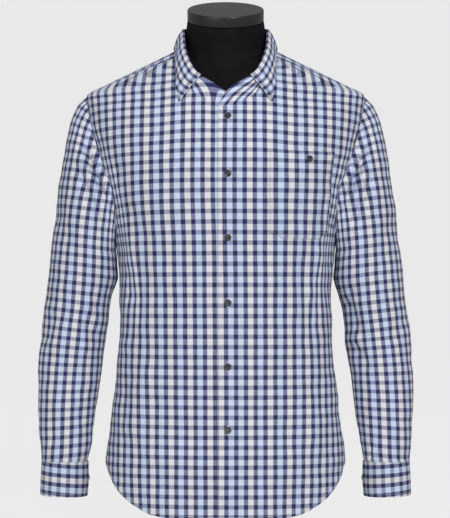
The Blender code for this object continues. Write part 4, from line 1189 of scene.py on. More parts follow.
def build_front(name, side, edge_x):
    """One front as it is buttoned; side is +1 for the wearer's left."""
    angle, height, known = front_grid(edge_x, count_for(FRONT_WIDTH))
    plain = body_plain(angle, height)
    near = lengths(plain, 1)
    far = near[:, -1:] - near
    angle = angle * side
    plain = body_plain(angle, height)
    across = measured_across(angle, height)
    columns = column_count(across, height, plain[..., 0], "left_start" if side > 0 else "right_start")
    tex = np.stack([columns, row_count(measured_up(plain, across, known)) + droop(across, height)], axis=-1)
    above = height[:, 0] >= NECK_FRONT_Z - STEP
    NECK_CHECK[side] = (height[above, 0], tex[above, 0])
    lift = panel_lift(angle, height, far)
    if side > 0:
        edge = ease((FACING_EDGE - near) / FACING_EDGE)
        lift = lift + FACING_SWELL * edge * ease((NECK_FRONT_Z - height) / 0.004)
        fading = ease((FACING_REACH - near) / FACING_REACH)
        lift = lift + pucker("facing", near - FACING_INSET, height) * fading
    else:
        lift = lift + under_lap(plain[..., 0])
    out = skin_normals(angle, height)
    outer = skin(angle, height) + out * lift[..., None]
    piece = add_cloth(name, outer, out, tex, band=BAND_END if side > 0 else None)
    sew_hem(angle[0][2:-2])


def back_outer_angle(level):
    """Angle of the back's and the yoke's outer edge: side seam, then armhole."""
    if level < UNDERARM_Z:
        return step_angle(math.pi / 2, level, SEAM / 2)
    return float(angle_at_x(read(ARMHOLE, "back_x", level), level, rear=True))


def back_far_angle(level):
    """The same edge on the other side."""
    return 2 * math.pi - back_outer_angle(level)


def side_distance(plain):
    """Distance of each point of a grid from the nearer end of its row."""
    run = lengths(plain, 1)
    return np.minimum(run[:, -1:] - run, run)


def build_back():
    """The back below the yoke, in one piece."""
    across = count_for(BACK_WIDTH)
    angles, heights, known = low_rows(back_outer_angle, back_far_angle, across)
    levels = levels_between(UNDERARM_Z, YOKE_BACK_Z - SEAM / 2)
    high_angles, high_heights = level_rows(back_outer_angle, back_far_angle, levels, across)
    angle = wrap(np.array(angles + high_angles))
    height = np.array(heights + high_heights)
    plain = body_plain(angle, height)
    half_round = np.abs(measured_across(np.full(height.shape, math.pi), height))
    wide = np.sign(angle) * (half_round - np.abs(measured_across(angle, height)))
    tex = np.stack([wide / ACROSS, row_count(measured_up(plain, wide, known)) + BACK_ROW_START], axis=-1)
    lift = panel_lift(angle, height, side_distance(plain))
    lift = lift + pucker("back_seam", YOKE_BACK_Z - height, plain[..., 0])
    out = skin_normals(angle, height)
    piece = add_cloth("back", skin(angle, height) + out * lift[..., None], out, tex)
    sew_hem(angle[0][2:across // 2])
    sew_hem(angle[0][across // 2 + 1:-2])


def yoke_rows(across):
    """Angles and heights of the yoke, row by row from its seam with the back."""
    levels = levels_between(YOKE_BACK_Z + SEAM / 2, SHOULDER_Z)[:-1]
    angles, heights = level_rows(back_outer_angle, back_far_angle, levels, across)
    lows = levels_between(SHOULDER_Z, NECK_CORNER_Z)
    for low in lows:
        seam = math.pi / 2 if low <= SHOULDER_Z else front_outer_angle(low)
        first = step_angle(seam, low, SEAM * SEAM_SLANT)
        angles.append(spread(first, 2 * math.pi - first, low, across))
    neck = yoke_neck_height(angles[-1])
    for low in lows:
        heights.append(SHOULDER_Z + (neck - SHOULDER_Z) * (low - SHOULDER_Z) / (NECK_CORNER_Z - SHOULDER_Z))
    return wrap(np.array(angles)), np.array(heights)


def yoke_neck_height(angle):
    """Height of the yoke's edge at the neck, where the collar stand is sewn on."""
    return read(YOKE_NECK, "height", np.degrees(np.minimum(angle, 2 * math.pi - angle)))


def over_shoulder(angle, height):
    """Length over the cloth from the yoke's seam with the back, up to the ridge and down in front."""
    widths = BODY["half_width"][SHOULDER_ROW:][::-1]
    ridge_heights = BODY["height"][SHOULDER_ROW:][::-1]
    places = np.linspace(0, widths[-1] - 0.0005, 80)
    share = np.linspace(0, 1, 60)
    x = np.broadcast_to(places[:, None], (80, 60))
    z = YOKE_BACK_Z + (np.interp(places, widths, ridge_heights)[:, None] - YOKE_BACK_Z) * share
    at_x = np.abs(body_plain(angle, height)[..., 0])
    at_ridge = np.interp(at_x, widths, ridge_heights)
    column = at_x / places[-1] * (len(places) - 1)
    row = (height - YOKE_BACK_Z) / (at_ridge - YOKE_BACK_Z) * (len(share) - 1)
    rear, front = [lengths(points(0, body_plain(angle_at_x(x, z, is_rear), z)[..., 1], z), 1)
                   for is_rear in (True, False)]
    front = rear[:, -1:] + front[:, -1:] - front
    return np.where(np.abs(angle) > math.pi / 2, between(rear, column, row), between(front, column, row))


def build_yoke():
    """The yoke, whose stripes follow its front seam there and are level behind."""
    angle, height = yoke_rows(count_for(YOKE_WIDTH))
    plain = body_plain(angle, height)
    x = plain[..., 0]
    far = side_distance(plain)
    beside = ease((height - SHOULDER_Z) / 0.006) * ease((YOKE_STRIPES_END - far) / YOKE_STRIPES_END * 1.8)
    columns = beside * (YOKE_STRIPE - far / ACROSS) + (1 - beside) * over_shoulder(angle, height) / ACROSS
    neck_x = BODY["half_width"][NECK_ROW]
    slope = (SHOULDER_Z - NECK_CORNER_Z) / (neck_x - BODY["half_width"][SHOULDER_ROW])
    wide = np.abs(x) + (math.hypot(1, slope) - 1) * np.maximum(np.abs(x) - neck_x, 0)
    tex = np.stack([columns, np.sign(x) * wide / ALONG + YOKE_START], axis=-1)
    lift = pucker("side", far, height) + pucker("yoke_seam", height - YOKE_BACK_Z, x)
    lift = lift * ease((0.79 - height) / 0.03)
    out = skin_normals(angle, height)
    piece = add_cloth("yoke", skin(angle, height) + out * lift[..., None], out, tex)
    sew_skin(angle[1][2:-2], height[1][2:-2] - 0.0006)
    rows = slice(count_for(SHOULDER_Z - YOKE_BACK_Z) + 2, -4)
    for col, step in ((0, 1), (-1, -1)):
        edge = skin(angle[rows, col], height[rows, col])
        inside = skin(angle[rows, col + step], height[rows, col + step])
        normal = out[rows, col]
        sew(edge + unit(inside - edge) * EDGE_ROLL + normal * THREAD_LIFT, normal)


# ===== Sleeves and cuffs =====
def armhole_loop(side):
    """Points of the armhole from the underarm up the front, over the shoulder and down the back."""
    levels = levels_between(UNDERARM_Z, SHOULDER_Z)
    inside = levels[1:-1]
    rise = [front_outer_angle(level) for level in inside]
    fall = [back_outer_angle(level) for level in inside[::-1]]
    angles = np.array([math.pi / 2] + rise + [math.pi / 2] + fall)
    loop = body(side * angles, np.concatenate([levels, inside[::-1]]))
    run = lengths(np.vstack([loop, loop[:1]]))
    top = len(levels) - 1
    up = run[:top + 1]
    down = run[top:] - run[top]
    return loop, np.concatenate([math.pi * (1 - up / up[-1]), -math.pi * down[1:-1] / down[-1]])


def sleeve_ring(turn, ring):
    """A point of the plain sleeve on the +X side."""
    outer_x, outer_z, inner_x, inner_z, depth, middle_y = read_all(SLEEVE, ring)
    across = np.cos(turn)
    x = (outer_x + inner_x) / 2 + (outer_x - inner_x) / 2 * across
    z = (outer_z + inner_z) / 2 + (outer_z - inner_z) / 2 * across
    return points(x, middle_y - depth * np.sin(turn), z)


def build_sleeve(name, side, front_folds):
    """A sleeve that starts at its armhole."""
    loop, turn = armhole_loop(side)
    shift = loop * (side, 1, 1) - sleeve_ring(turn, np.zeros(turn.shape))
    rings = np.concatenate([[SLEEVE_SEAM_RING], np.linspace(0.10, CUFF_RING, SLEEVE_RINGS)])
    t, ring = np.meshgrid(turn, rings)
    plain = sleeve_ring(t, ring) + shift * (1 - ease(ring / ARMHOLE_REACH))[..., None]
    around = np.roll(plain, -1, axis=1) - np.roll(plain, 1, axis=1)
    out = unit(np.cross(np.gradient(plain, axis=0), around))
    out = out * np.sign(dot(out, plain - plain.mean(axis=1, keepdims=True)))[..., None]
    x = plain[..., 0]
    z = plain[..., 2]
    moved = ease(np.sin(t) * FRONT_BLEND) * fold_depth(front_folds, x, z)
    back_folds = SLEEVE_BACK_FOLDS + BACK_SLEEVE_CREASES
    moved = moved + ease(-np.sin(t) * FRONT_BLEND) * fold_depth(back_folds, x, z)
    moved = moved + uneven(x + 0.4 * side, z, 2.0 * side)
    moved = moved * ease((ring - 0.15) / CREASE_START_RINGS) * ease((CUFF_RING - ring) / CREASE_END_RINGS)
    moved = moved + gathers(t, z)
    mirror = np.array([side, 1, 1])
    outer = (plain + out * moved[..., None]) * mirror
    piece = add_cloth(name, outer, out * mirror, sleeve_check(plain, turn), round_=True)
    return outer, out * mirror, turn


def gathers(turn, z):
    """Small folds where the sleeve is gathered into the cuff, near the placket."""
    place = bell(turn - GATHERS_TURN, 0.50)
    return ease((0.172 - z) / 0.024) * place * GATHERS_DEPTH * np.sin(turn * 26.0)


def outer_line():
    """The sleeve's outer line as the check follows it: places, directions and lengths from the cuff."""
    reach = np.linspace(0, CUFF_RING, 400)
    place = sleeve_ring(np.zeros(reach.shape), reach)[::-1, ::2]
    length = lengths(place)
    step = np.diff(place, axis=0)
    middle = (length[1:] + length[:-1]) / 2
    weight = bell(length[:, None] - middle, OUTER_LINE_EASE)
    lean = (weight * np.arctan2(step[:, 0], step[:, 1])).sum(axis=1) / weight.sum(axis=1)
    along = np.stack([np.sin(lean), np.cos(lean)], axis=-1)
    run = np.diff(length)[:, None] * (along[1:] + along[:-1]) / 2
    return place[0] + np.concatenate([[(0, 0)], np.cumsum(run, axis=0)]), along, length


def from_outer_line(grid, line):
    """Length from the cuff and distance inward from the outer line, as seen from the front."""
    place, along, length = line
    flat = grid[..., ::2]
    gap = (flat[..., :1] - place[:, 0]) ** 2 + (flat[..., 1:] - place[:, 1]) ** 2
    near = gap.argmin(axis=-1)
    over = flat - place[near]
    along = along[near]
    return length[near] + dot(over, along), over[..., 1] * along[..., 0] - over[..., 0] * along[..., 1]


def oval_run(half, depth, turn):
    """Length along an oval section from its outer end to a turn."""
    total = np.zeros(np.broadcast(half, turn).shape)
    for share in (np.arange(OVAL_STEPS) + 0.5) / OVAL_STEPS:
        at = turn * share
        total = total + np.sqrt((half * np.sin(at)) ** 2 + (depth * np.cos(at)) ** 2) * turn / OVAL_STEPS
    return total


def sleeve_check(plain, turn):
    """The check's counts on a sleeve: rows square to its outer line, columns alongside it."""
    line = outer_line()
    reach = np.linspace(CUFF_RING, 0, 200)
    inner_run, inner_wide = from_outer_line(sleeve_ring(np.full(reach.shape, math.pi), reach), line)
    outer_run, outer_wide = from_outer_line(sleeve_ring(np.zeros(reach.shape), reach), line)
    depth = read(SLEEVE, "depth", np.maximum(reach, ARMHOLE_REACH))
    up, wide = from_outer_line(plain, line)
    first = np.interp(up, outer_run, outer_wide)
    half = (np.interp(up, inner_run, inner_wide) - first) / 2
    deep = np.interp(up, (inner_run + outer_run) / 2, depth)
    across = oval_run(half, deep, np.arccos(np.clip(1 - (wide - first) / half, -1, 1)))
    across = across * np.where(turn < 0, -1, 1)
    quarter = oval_run(half, deep, np.full(half.shape, math.pi / 2))
    at_elbow = np.interp(ELBOW_RUN, up[::-1, 0], quarter[::-1, 0])
    across = across - np.where(up < ELBOW_RUN, quarter - at_elbow, 0)
    return np.stack([across / SLEEVE_ACROSS + SLEEVE_START[0], up / SLEEVE_ALONG + SLEEVE_START[1]], axis=-1)


def cuff_point(turn, height, lift):
    """A point of the cuff on the +X side, moved out by lift."""
    outer_x, inner_x, drop = read_all(CUFF, height)
    half = (outer_x - inner_x) / 2 + lift
    x = (outer_x + inner_x) / 2 + half * np.cos(turn)
    y = SLEEVE["middle_y"][-1] - (CUFF_DEPTH + lift) * np.sin(turn)
    return points(x, y, height + drop * np.cos(turn))


def cuff_out(turn):
    """Level directions out of the cuff."""
    return points(np.cos(turn), -np.sin(turn), np.zeros(turn.shape))


def cuff_lap(turn):
    """How far the cuff's buttoned end lies above the other one."""
    return ease((turn - CUFF_END + CUFF_LAP * 1.6) / (CUFF_LAP * 0.5)) * UNDER


def build_cuff(name, side):
    """A cuff: a band whose buttoned end laps over the other at the back of the wrist."""
    mirror = np.array([side, 1, 1])
    turn = CUFF_END - np.linspace(0, 2 * math.pi + CUFF_LAP, 210)
    foot, top = CUFF["height"][[0, -1]]
    t, h = np.meshgrid(turn, np.linspace(foot, top, 31))
    rim = np.minimum(h - foot, top - h)
    run = (CUFF_END - t) * CUFF_DEPTH
    lift = cuff_lap(t) - ROLL_DEPTH * ease((EDGE_ROLL - rim) / EDGE_ROLL)
    lift = lift + pucker("cuff", rim - SEAM_INSET, run)
    lift = lift + CUFF_WAVE * np.sin(2 * t + 0.6) * np.sin((h - foot) * 60)
    rows = (h - CUFF_ROW_Z - CUFF_ROW_TILT * np.cos(t)) / CUFF_REPEAT
    tex = np.stack([rows, run / CUFF_ALONG + CUFF_START], axis=-1)
    piece = add_cloth(name, cuff_point(t, h, lift) * mirror, cuff_out(t) * mirror, tex, STIFF_SHELL)
    rise = np.linspace(foot + SEAM_INSET, top - 0.002, 24)
    around = turn[2:-2]
    for at, level in ((around, np.full(around.shape, foot + SEAM_INSET)),
                      (around, np.full(around.shape, top - EDGE_ROLL)),
                      (np.full(rise.shape, turn[0] - SEAM_INSET / CUFF_DEPTH), rise)):
        sew(cuff_point(at, level, cuff_lap(at) + THREAD_LIFT) * mirror, cuff_out(at) * mirror)


def build_placket(name, outer, out, turn):
    """The strip that binds the slit above the cuff, made from the sleeve's points, moved out."""
    order = np.argsort(turn)
    rows = int(np.searchsorted(lengths(outer[::-1]).mean(axis=1)[1:], PLACKET_LENGTH))
    spacing = np.linalg.norm(outer[-1, order[10]] - outer[-1, order[11]])
    rear = int(np.argmin(np.abs(turn[order] - PLACKET_TURN)))
    half = max(2, int(PLACKET_WIDTH / 2 / spacing))
    cols = order[rear - half:rear + half + 1]
    lift = unit(smooth_grid(out[-rows:][:, cols], rows * 2, PLACKET_COLS))
    col = np.arange(PLACKET_COLS)
    swell = PLACKET_SINK * np.minimum(1, np.minimum(col, col[::-1]) / 2.0)
    face = smooth_grid(outer[-rows:][:, cols], rows * 2, PLACKET_COLS)
    face = face + lift * (LAY + CLOTH - PLACKET_SINK + swell)[..., None]
    across = lengths(face, 1)[:, -1].mean() / (PLACKET_COLS - 1) * col
    down = lengths(face).mean(axis=1)[:, None]
    tex = np.stack(np.broadcast_arrays(across / ACROSS + PLACKET_START, -down / ALONG), axis=-1)
    piece = add_cloth(name, face, lift, tex, PLACKET_SHELL)
    face = face + lift * THREAD_LIFT
    for part in ((slice(2, -1), 1), (slice(2, -1), -2), (3, slice(1, -1)), (24, slice(1, -1))):
        sew(face[part], lift[part])


# ===== Collar =====
def neck_columns():
    """The neckline from the left front's edge round the back to the right front's edge, and its normals."""
    fronts = []
    levels = NECKLINE["height"][:-1]
    for side, edge_x in ((1, LEFT_EDGE_X), (-1, -RIGHT_EDGE_X)):
        angle = side * np.array([front_inner_angle(level, edge_x) for level in levels])
        out = body_normals(angle, levels)
        line = body(angle, levels)
        if side < 0:
            line = line + out * under_lap(body_plain(angle, levels)[..., 0])[:, None]
        fronts.append((line, out))
    first = step_angle(front_outer_angle(NECK_CORNER_Z), NECK_CORNER_Z, SEAM * SEAM_SLANT)
    angle = spread(first, 2 * math.pi - first, NECK_CORNER_Z, YOKE_ACROSS)
    height = yoke_neck_height(angle)
    angle = wrap(angle)
    left, right = fronts
    neck = np.concatenate([left[0], body(angle, height), right[0][::-1]])
    return neck, np.concatenate([left[1], body_normals(angle, height), right[1][::-1]])


def places(count):
    """How far each column is from its front end: 0 there, 1 at the centre back."""
    return 1 - np.abs(np.linspace(-1, 1, count))


def toward_neck(line):
    """Level directions from each point towards the middle of the neck."""
    return unit((np.array([0.0, NECK_MIDDLE_Y, 0.0]) - line) * (1, 1, 0))


def upward_from(out, line):
    """Directions in the cloth's plane, square to a line on it and upward."""
    up = unit(np.cross(out, np.gradient(line, axis=0)))
    return up * np.sign(up[:, 2:3])


def stand_grid(neck, out):
    """The stand's outer points and normals on the coarse columns."""
    rise, inward = read_all(STAND, places(len(neck)))
    low = neck + upward_from(out, neck) * NECK_SEAM
    high = low + toward_neck(neck) * inward[:, None] + points(0, 0, rise)
    high[0] += unit(low[1] - low[0]) * STAND_END_LEAN
    high[-1] += unit(low[-2] - low[-1]) * STAND_END_LEAN
    outer = low + (high - low) * np.linspace(0, 1, 3)[:, None, None]
    normal = unit(np.cross(np.gradient(outer, axis=1), np.gradient(outer, axis=0)))
    normal = normal * -np.sign(dot(normal, toward_neck(neck)))[..., None]
    normal[0] = out
    return outer, normal


def leaf_grid(stand, stand_out):
    """The leaf's outer points on the coarse columns, from its inner edge over the fold to its outer edge."""
    fold = stand[-1, LEAF_START:-LEAF_START]
    away = stand_out[-1, LEAF_START:-LEAF_START]
    over = upward_from(away, fold)
    angle, height = read_all(EDGE, places(len(fold)))
    angle = np.radians(angle) * np.where(np.arange(len(fold)) <= (len(fold) - 1) / 2, 1.0, -1.0)
    edge = body(angle, height) + body_normals(angle, height) * (LEAF_CLEAR + CLOTH)
    roll = fold + away * LEAF_ROLL - over * CLOTH
    rows = [fold - away * CLOTH * 0.7 + over * (NECK_SEAM + CLOTH),
            fold + away * LEAF_ROLL * 0.62 + over * (NECK_SEAM + CLOTH * 0.75),
            roll]
    for share in (0.30, 0.65, 1.0):
        rows.append(roll + (edge - roll) * share + away * (math.sin(share * math.pi) * LEAF_BOW))
    return np.array(rows), over, away


def build_stand():
    """The collar stand, with the check running on from the fronts."""
    neck, neck_out = neck_columns()
    coarse, coarse_out = stand_grid(neck, neck_out)
    cols = (len(neck) - 1) * COLLAR_FINE + 1
    outer = smooth_grid(coarse, STAND_ROWS, cols)
    out = grid_normals(outer, smooth_grid(coarse_out, STAND_ROWS, cols))
    tex = stand_check(neck, outer)
    outer[0] = outer[0] - (outer[1] - outer[0]) * 0.20
    piece = add_cloth("collar_stand", outer, out, tex, STIFF_SHELL)
    return coarse, coarse_out


def stand_check(neck, outer):
    """The check's counts on the stand, whose stripes run from the fronts along its upper edge."""
    cols = outer.shape[1]
    run = lengths(neck)
    levels = NECKLINE["height"][:-1]
    fronts = len(levels)
    known = {side: [np.interp(levels, heights, counts[:, k]) for k in (0, 1)]
             for side, (heights, counts) in NECK_CHECK.items()}
    turns = round((known[1][0][-1] + (run[-fronts] - run[fronts - 1]) / ACROSS - known[-1][0][-1]) / 2)
    base = []
    for left, right, whole in zip(known[1], known[-1], (2 * turns, 0)):
        right = right[::-1] + whole
        middle = np.interp(run[fronts:-fronts], [run[fronts - 1], run[-fronts]], [left[-1], right[0]])
        base.append(smooth_line(np.concatenate([left, middle, right]), cols))
    rise = lengths(outer).mean(axis=1)[:, None]
    share = rise / rise[-1]
    edge = np.where(np.arange(cols) < cols / 2, STAND_EDGE_LEFT, STAND_EDGE_RIGHT + 2 * turns)
    return np.stack([base[0] * (1 - share) + edge * share, base[1] + rise / ALONG], axis=-1)


def build_leaf(coarse, coarse_out):
    """The leaf, folded over the top of the stand and down onto the shoulders."""
    grid, over, away = leaf_grid(coarse, coarse_out)
    cols = (grid.shape[1] - 1) * COLLAR_FINE + 1
    outer = smooth_grid(grid, LEAF_ROWS, cols)
    like = grid_normals(grid, np.stack([over] + [away * 0.7 + over * 0.5] + [away] * 4))
    out = grid_normals(outer, smooth_grid(like, LEAF_ROWS, cols))
    down = lengths(outer)
    run = lengths(outer[LEAF_ROWS // 2])
    run = run - run[-1] / 2
    col = np.arange(cols)
    rim = np.minimum(down[-1] - down, np.minimum(col, col[::-1]) * 0.0019)
    lift = LEAF_SWELL * bell(rim - 0.003, 0.0022) - LEAF_SINK * ease((EDGE_ROLL - rim) / EDGE_ROLL)
    lift = lift + pucker("leaf", rim - SEAM_INSET, run)
    outer = outer + out * lift[..., None]
    fold = down[int(LEAF_ROWS * LEAF_FOLD_SHARE)]
    columns = 0.5 + (down - fold - LEAF_STRIPE) / LEAF_ACROSS
    tex = np.stack(np.broadcast_arrays(columns, run / ALONG), axis=-1)
    piece = add_cloth("collar_leaf", outer, out, tex, STIFF_SHELL)
    last_row = int(np.searchsorted(-(down[-1] - down).mean(axis=1), -SEAM_INSET))
    face = outer + out * THREAD_LIFT
    for part in ((last_row, slice(3, -3)), (slice(12, last_row), 3), (slice(12, last_row), -4)):
        sew(face[part], out[part])


# ===== Pocket =====
def pocket_grid():
    """Angles and heights of the patch pocket on the left front."""
    share = np.linspace(0, 1, count_for(POCKET_WIDTH, FINE_STEP) + 1)
    slant = np.clip(np.minimum(share, 1 - share) / POCKET_CORNER, 0, 1)
    foot = POCKET_SIDE_Z - (POCKET_SIDE_Z - POCKET_FOOT_Z) * slant
    angles = []
    heights = []
    for f in np.linspace(0, 1, count_for(POCKET_TOP_Z - POCKET_FOOT_Z, FINE_STEP) + 1):
        level = POCKET_SIDE_Z + (POCKET_TOP_Z - POCKET_SIDE_Z) * f
        fine, run = section_run(float(angle_at_x(POCKET_LEFT_X, level)), math.pi / 2, level)
        angles.append(np.interp(share * POCKET_WIDTH, run, fine))
        heights.append(foot + (POCKET_TOP_Z - foot) * f)
    return np.array(angles), np.array(heights), foot


def build_pocket():
    """A patch pocket with a slanted corner at each side of its foot, matched to the front's check."""
    angle, height, foot = pocket_grid()
    plain = body_plain(angle, height)
    wide = measured_across(angle, height)
    columns = column_count(wide, height, plain[..., 0], "left_start")
    tex = np.stack([columns, pocket_rows(angle, height)], axis=-1)
    rim = np.minimum(np.minimum(side_distance(plain), height - foot), POCKET_TOP_Z - height)
    lift = LAY + CLOTH - SHELL + SHELL * ease(rim / 0.0012)
    lift = lift - POCKET_GROOVE * bell(rim - POCKET_INSET, 0.0009)
    lift = lift + pucker("pocket", rim - POCKET_INSET, plain[..., 0] + height)
    lift = lift + POCKET_WAVE * bell(POCKET_TOP_Z - height, 0.010) * np.sin(wide * 75.0)
    out = skin_normals(angle, height)
    base = skin(angle, height)
    piece = add_cloth("chest_pocket", base + out * lift[..., None], out, tex)
    face = base + out * (LAY + CLOTH + POCKET_THREAD_LIFT)
    for inset in (POCKET_INSET, POCKET_INSET + POCKET_SECOND_ROW):
        sew_pocket(face, out, inset)
    mouth = base + out * (lift + POCKET_THREAD_LIFT)[..., None]
    sew(mouth[-2, 1:-1], out[-2, 1:-1], "navy_thread")


def pocket_rows(angle, height):
    """The check's rows of the front below the pocket, so that the pocket matches them."""
    levels = np.linspace(STRAIGHT_Z, 0.66, 60)
    under_angle = np.array([spread(0.0, math.pi / 2, level, 40) for level in levels])
    under_height = np.broadcast_to(levels[:, None], under_angle.shape)
    wide = measured_across(under_angle, under_height)
    up = measured_up(body_plain(under_angle, under_height), wide, 0)
    rows = row_count(up) + droop(wide, under_height)
    place = np.clip((height - levels[0]) / (levels[1] - levels[0]), 0, len(levels) - 1.001)
    result = np.zeros(height.shape)
    for at in np.ndindex(height.shape):
        r = int(place[at])
        f = place[at] - r
        low, high = [np.interp(angle[at], under_angle[k], rows[k]) for k in (r, r + 1)]
        result[at] = low * (1 - f) + high * f
    return result


def sew_pocket(face, out, inset):
    """Stitches down one side of the pocket, round its foot and up the other."""
    k = max(1, int(round(inset / FINE_STEP)))
    shift = (inset - k * FINE_STEP) / FINE_STEP
    left = face[:-1, k] + (face[:-1, k + 1] - face[:-1, k]) * shift
    right = face[:-1, -1 - k] + (face[:-1, -2 - k] - face[:-1, -1 - k]) * shift
    foot = face[k] + (face[k + 1] - face[k]) * shift
    sew(left[:k:-1], out[:-1, k][:k:-1], "blue_thread")
    sew(foot[k:-k], out[k, k:-k])
    sew(right[k + 1:], out[k + 1:-1, -1 - k], "blue_thread")


# ===== Buttons =====
def add_button(name, node, seat, out, radius, twist):
    """A four-hole button with a raised rim, sewn on with two bars of thread."""
    up = unit(UP - out * out[2])
    side = np.cross(up, out)
    seat = seat + out * BUTTON_GAP
    turn = np.linspace(0, 2 * math.pi, BUTTON_SIDES, endpoint=False)
    circle = np.stack([np.cos(turn), np.sin(turn)], axis=-1)
    middle = [(share, BUTTON_FLAT) for share in np.linspace(0.64, 0.02, 22)]
    rings = np.array(BUTTON_RINGS + tuple(middle)) * (radius, BUTTON_THICK)
    flat = rings[:, :1, None] * circle
    level = np.repeat(rings[:, 1:], BUTTON_SIDES, axis=1)
    in_middle = (np.arange(len(rings)) >= len(BUTTON_RINGS))[:, None]
    for corner in range(4):
        place = math.radians(45 + 90 * corner + twist)
        away = np.hypot(flat[..., 0] - HOLE_AT * math.cos(place), flat[..., 1] - HOLE_AT * math.sin(place))
        level = level - in_middle * HOLE_DEPTH * ease((HOLE_RADIUS - away) / HOLE_EDGE)
    verts = seat + flat[..., :1] * side + flat[..., 1:] * up + level[..., None] * out
    add_closed(name, verts, "button", node)
    across = math.cos(math.radians(45)) * HOLE_AT
    angle = math.radians(twist)
    along = side * math.cos(angle) + up * math.sin(angle)
    other = side * -math.sin(angle) + up * math.cos(angle)
    base = seat + out * (BUTTON_FLAT * BUTTON_THICK + 0.0001)
    shifts = [row * across + strand for row in (-1, 1) for strand in (-0.0002, 0.0002)]
    centres = np.array([base + other * shift for shift in shifts])
    add_bars("navy_thread", centres, out + 0 * centres, along + 0 * centres, across * 2.0 + 0.0010, 0.00048)


def add_buttonhole(seat, out, along):
    """A buttonhole: two dense rows of short stitches beside a slit, with a bar at each end."""
    side = np.cross(out, along)
    at = np.linspace(-BUTTONHOLE / 2, BUTTONHOLE / 2, 40)
    for row in (-1, 1):
        centres = seat + at[:, None] * along + side * (row * 0.00075) + out * 0.00015
        add_bars("pale_thread", centres, out + 0 * centres, side + 0 * centres, 0.00125, 0.00042)
    for end in (-1, 1):
        centre = seat + along * (end * (BUTTONHOLE / 2 + 0.0004)) + out * 0.0002
        add_bars("pale_thread", centre[None], out[None], side[None], 0.0030, 0.00075)


def on_body(x, z):
    """The angle and height of a place on the front, its point on the solids and its normal."""
    height = np.array([z])
    angle = angle_at_x(np.array([x]), height)
    return angle, height, body(angle, height)[0], body_normals(angle, height)[0]


def build_buttons():
    """Six buttons down the front, one on the pocket and one on each cuff."""
    for number, (z, twist) in enumerate(zip(BUTTON_Z, BUTTON_TWISTS), 1):
        angle, height, seat, out = on_body(BUTTON_X, z)
        add_button(f"shirt_button_{number}", f"button_{number}", seat, out, BUTTON_RADIUS, twist)
        out = skin_normals(angle, height)[0]
        add_buttonhole(skin(angle, height)[0] + out * 0.0001, out, unit(UP - out * out[2]))
    angle, height, seat, out = on_body(*POCKET_BUTTON)
    seat = seat + out * (LAY + CLOTH)
    add_button("pocket_button", "button_pocket", seat, out, BUTTON_RADIUS * 0.95, 24)
    add_buttonhole(seat + out * 0.0001, out, unit(UP - out * out[2]))
    turn = np.array([CUFF_END - CUFF_LAP * 0.5])
    for name, side in (("left", 1), ("right", -1)):
        mirror = np.array([side, 1, 1])
        seat = cuff_point(turn, np.array([CUFF_BUTTON_Z]), UNDER)[0] * mirror
        out = cuff_out(turn)[0] * mirror
        add_button("cuff_button_" + name, "button_cuff_" + name, seat, out, BUTTON_RADIUS * 0.92, 9)
        add_buttonhole(seat + out * 0.0001, out, unit(np.cross(out, UP)))


# ===== Dress form =====
def rounded(radius, height, edge, start, end):
    """Profile points round an edge that ends at this radius and height."""
    size = abs(edge)
    return [(radius - size + size * math.cos(turn), height + edge + size * math.sin(turn))
            for turn in np.radians(np.linspace(start, end, 5))]


def turned_rings(profile, middle, axis):
    """Rings turned from (radius, height) points about an axis."""
    across = np.array([1.0, 0.0, 0.0])
    turn = np.linspace(0, 2 * math.pi, TURNED_SIDES, endpoint=False)
    circle = np.cos(turn)[:, None] * across + np.sin(turn)[:, None] * unit(np.cross(axis, across))
    return np.array([middle + r * circle + h * axis for r, h in profile])


def add_closed(name, rings, slot, node):
    """A solid body through closed rings with an even count of points, shut by strips at both ends."""
    rows, cols = rings.shape[:2]
    quads = np.concatenate([grid_quads(rows, cols), cap_quads(rows, cols)])
    piece = add_mesh(name, rings.reshape(-1, 3), quads, MATERIALS[slot])
    finish_piece(piece, slot, node)


def build_form():
    """The torso under its jersey, the cap on the neck and the stand."""
    foot, top = FORM["height"][[0, -1]]
    height = np.concatenate([np.linspace(foot, 0.140, 8)[:-1], np.linspace(0.140, top, 130)])
    t, h = np.meshgrid(np.linspace(0, 2 * math.pi, 144, endpoint=False), height)
    *section, tilt = read_all(FORM, h)
    x, y = oval(t, *section)
    lean = np.radians(tilt)
    middle = CAP_MIDDLE[1] * ease((h - 0.79) / 0.06)
    torso = points(x, middle + y * np.cos(lean), h + y * np.sin(lean))
    add_closed("torso_cover", torso, "form_cover", "form_torso")

    axis = np.array([0.0, -math.sin(CAP_TILT), math.cos(CAP_TILT)])
    profile = [(CAP_RADIUS - CAP_EDGE * 0.6, 0.0)]
    profile += rounded(CAP_RADIUS, 0.0, CAP_EDGE, -90, 0)
    profile += [(CAP_RADIUS, CAP_THICK * 0.5)]
    profile += rounded(CAP_RADIUS, CAP_THICK, -CAP_EDGE, 0, 90)
    profile += [(CAP_RADIUS * share, CAP_THICK) for share in (0.95, 0.7, 0.4, 0.1)]
    cap = turned_rings(profile, np.array(CAP_MIDDLE) + axis * SEAM, axis)
    add_closed("cap_disc", cap, "form_cap", "form_cap")

    collar_top = foot - SEAM
    collar_foot = collar_top - STAND_COLLAR_THICK
    rim = STAND_PLATE_RADIUS
    plate = [(rim * 0.5, 0.0), (rim - 0.0004, 0.0), (rim, 0.0004)]
    plate += rounded(rim, STAND_PLATE_THICK, -STAND_PLATE_EDGE, 0, 90)
    plate += [(STAND_POST_RADIUS + wider, STAND_PLATE_THICK + higher) for wider, higher in WELD]
    plate += [(STAND_POST_RADIUS, collar_foot - 0.001), (STAND_COLLAR_RADIUS - 0.001, collar_foot)]
    plate += [(STAND_COLLAR_RADIUS, collar_foot + 0.001), (STAND_COLLAR_RADIUS, collar_top)]
    add_closed("stand_foot", turned_rings(plate, np.zeros(3), UP), "form_stand", "form_stand")


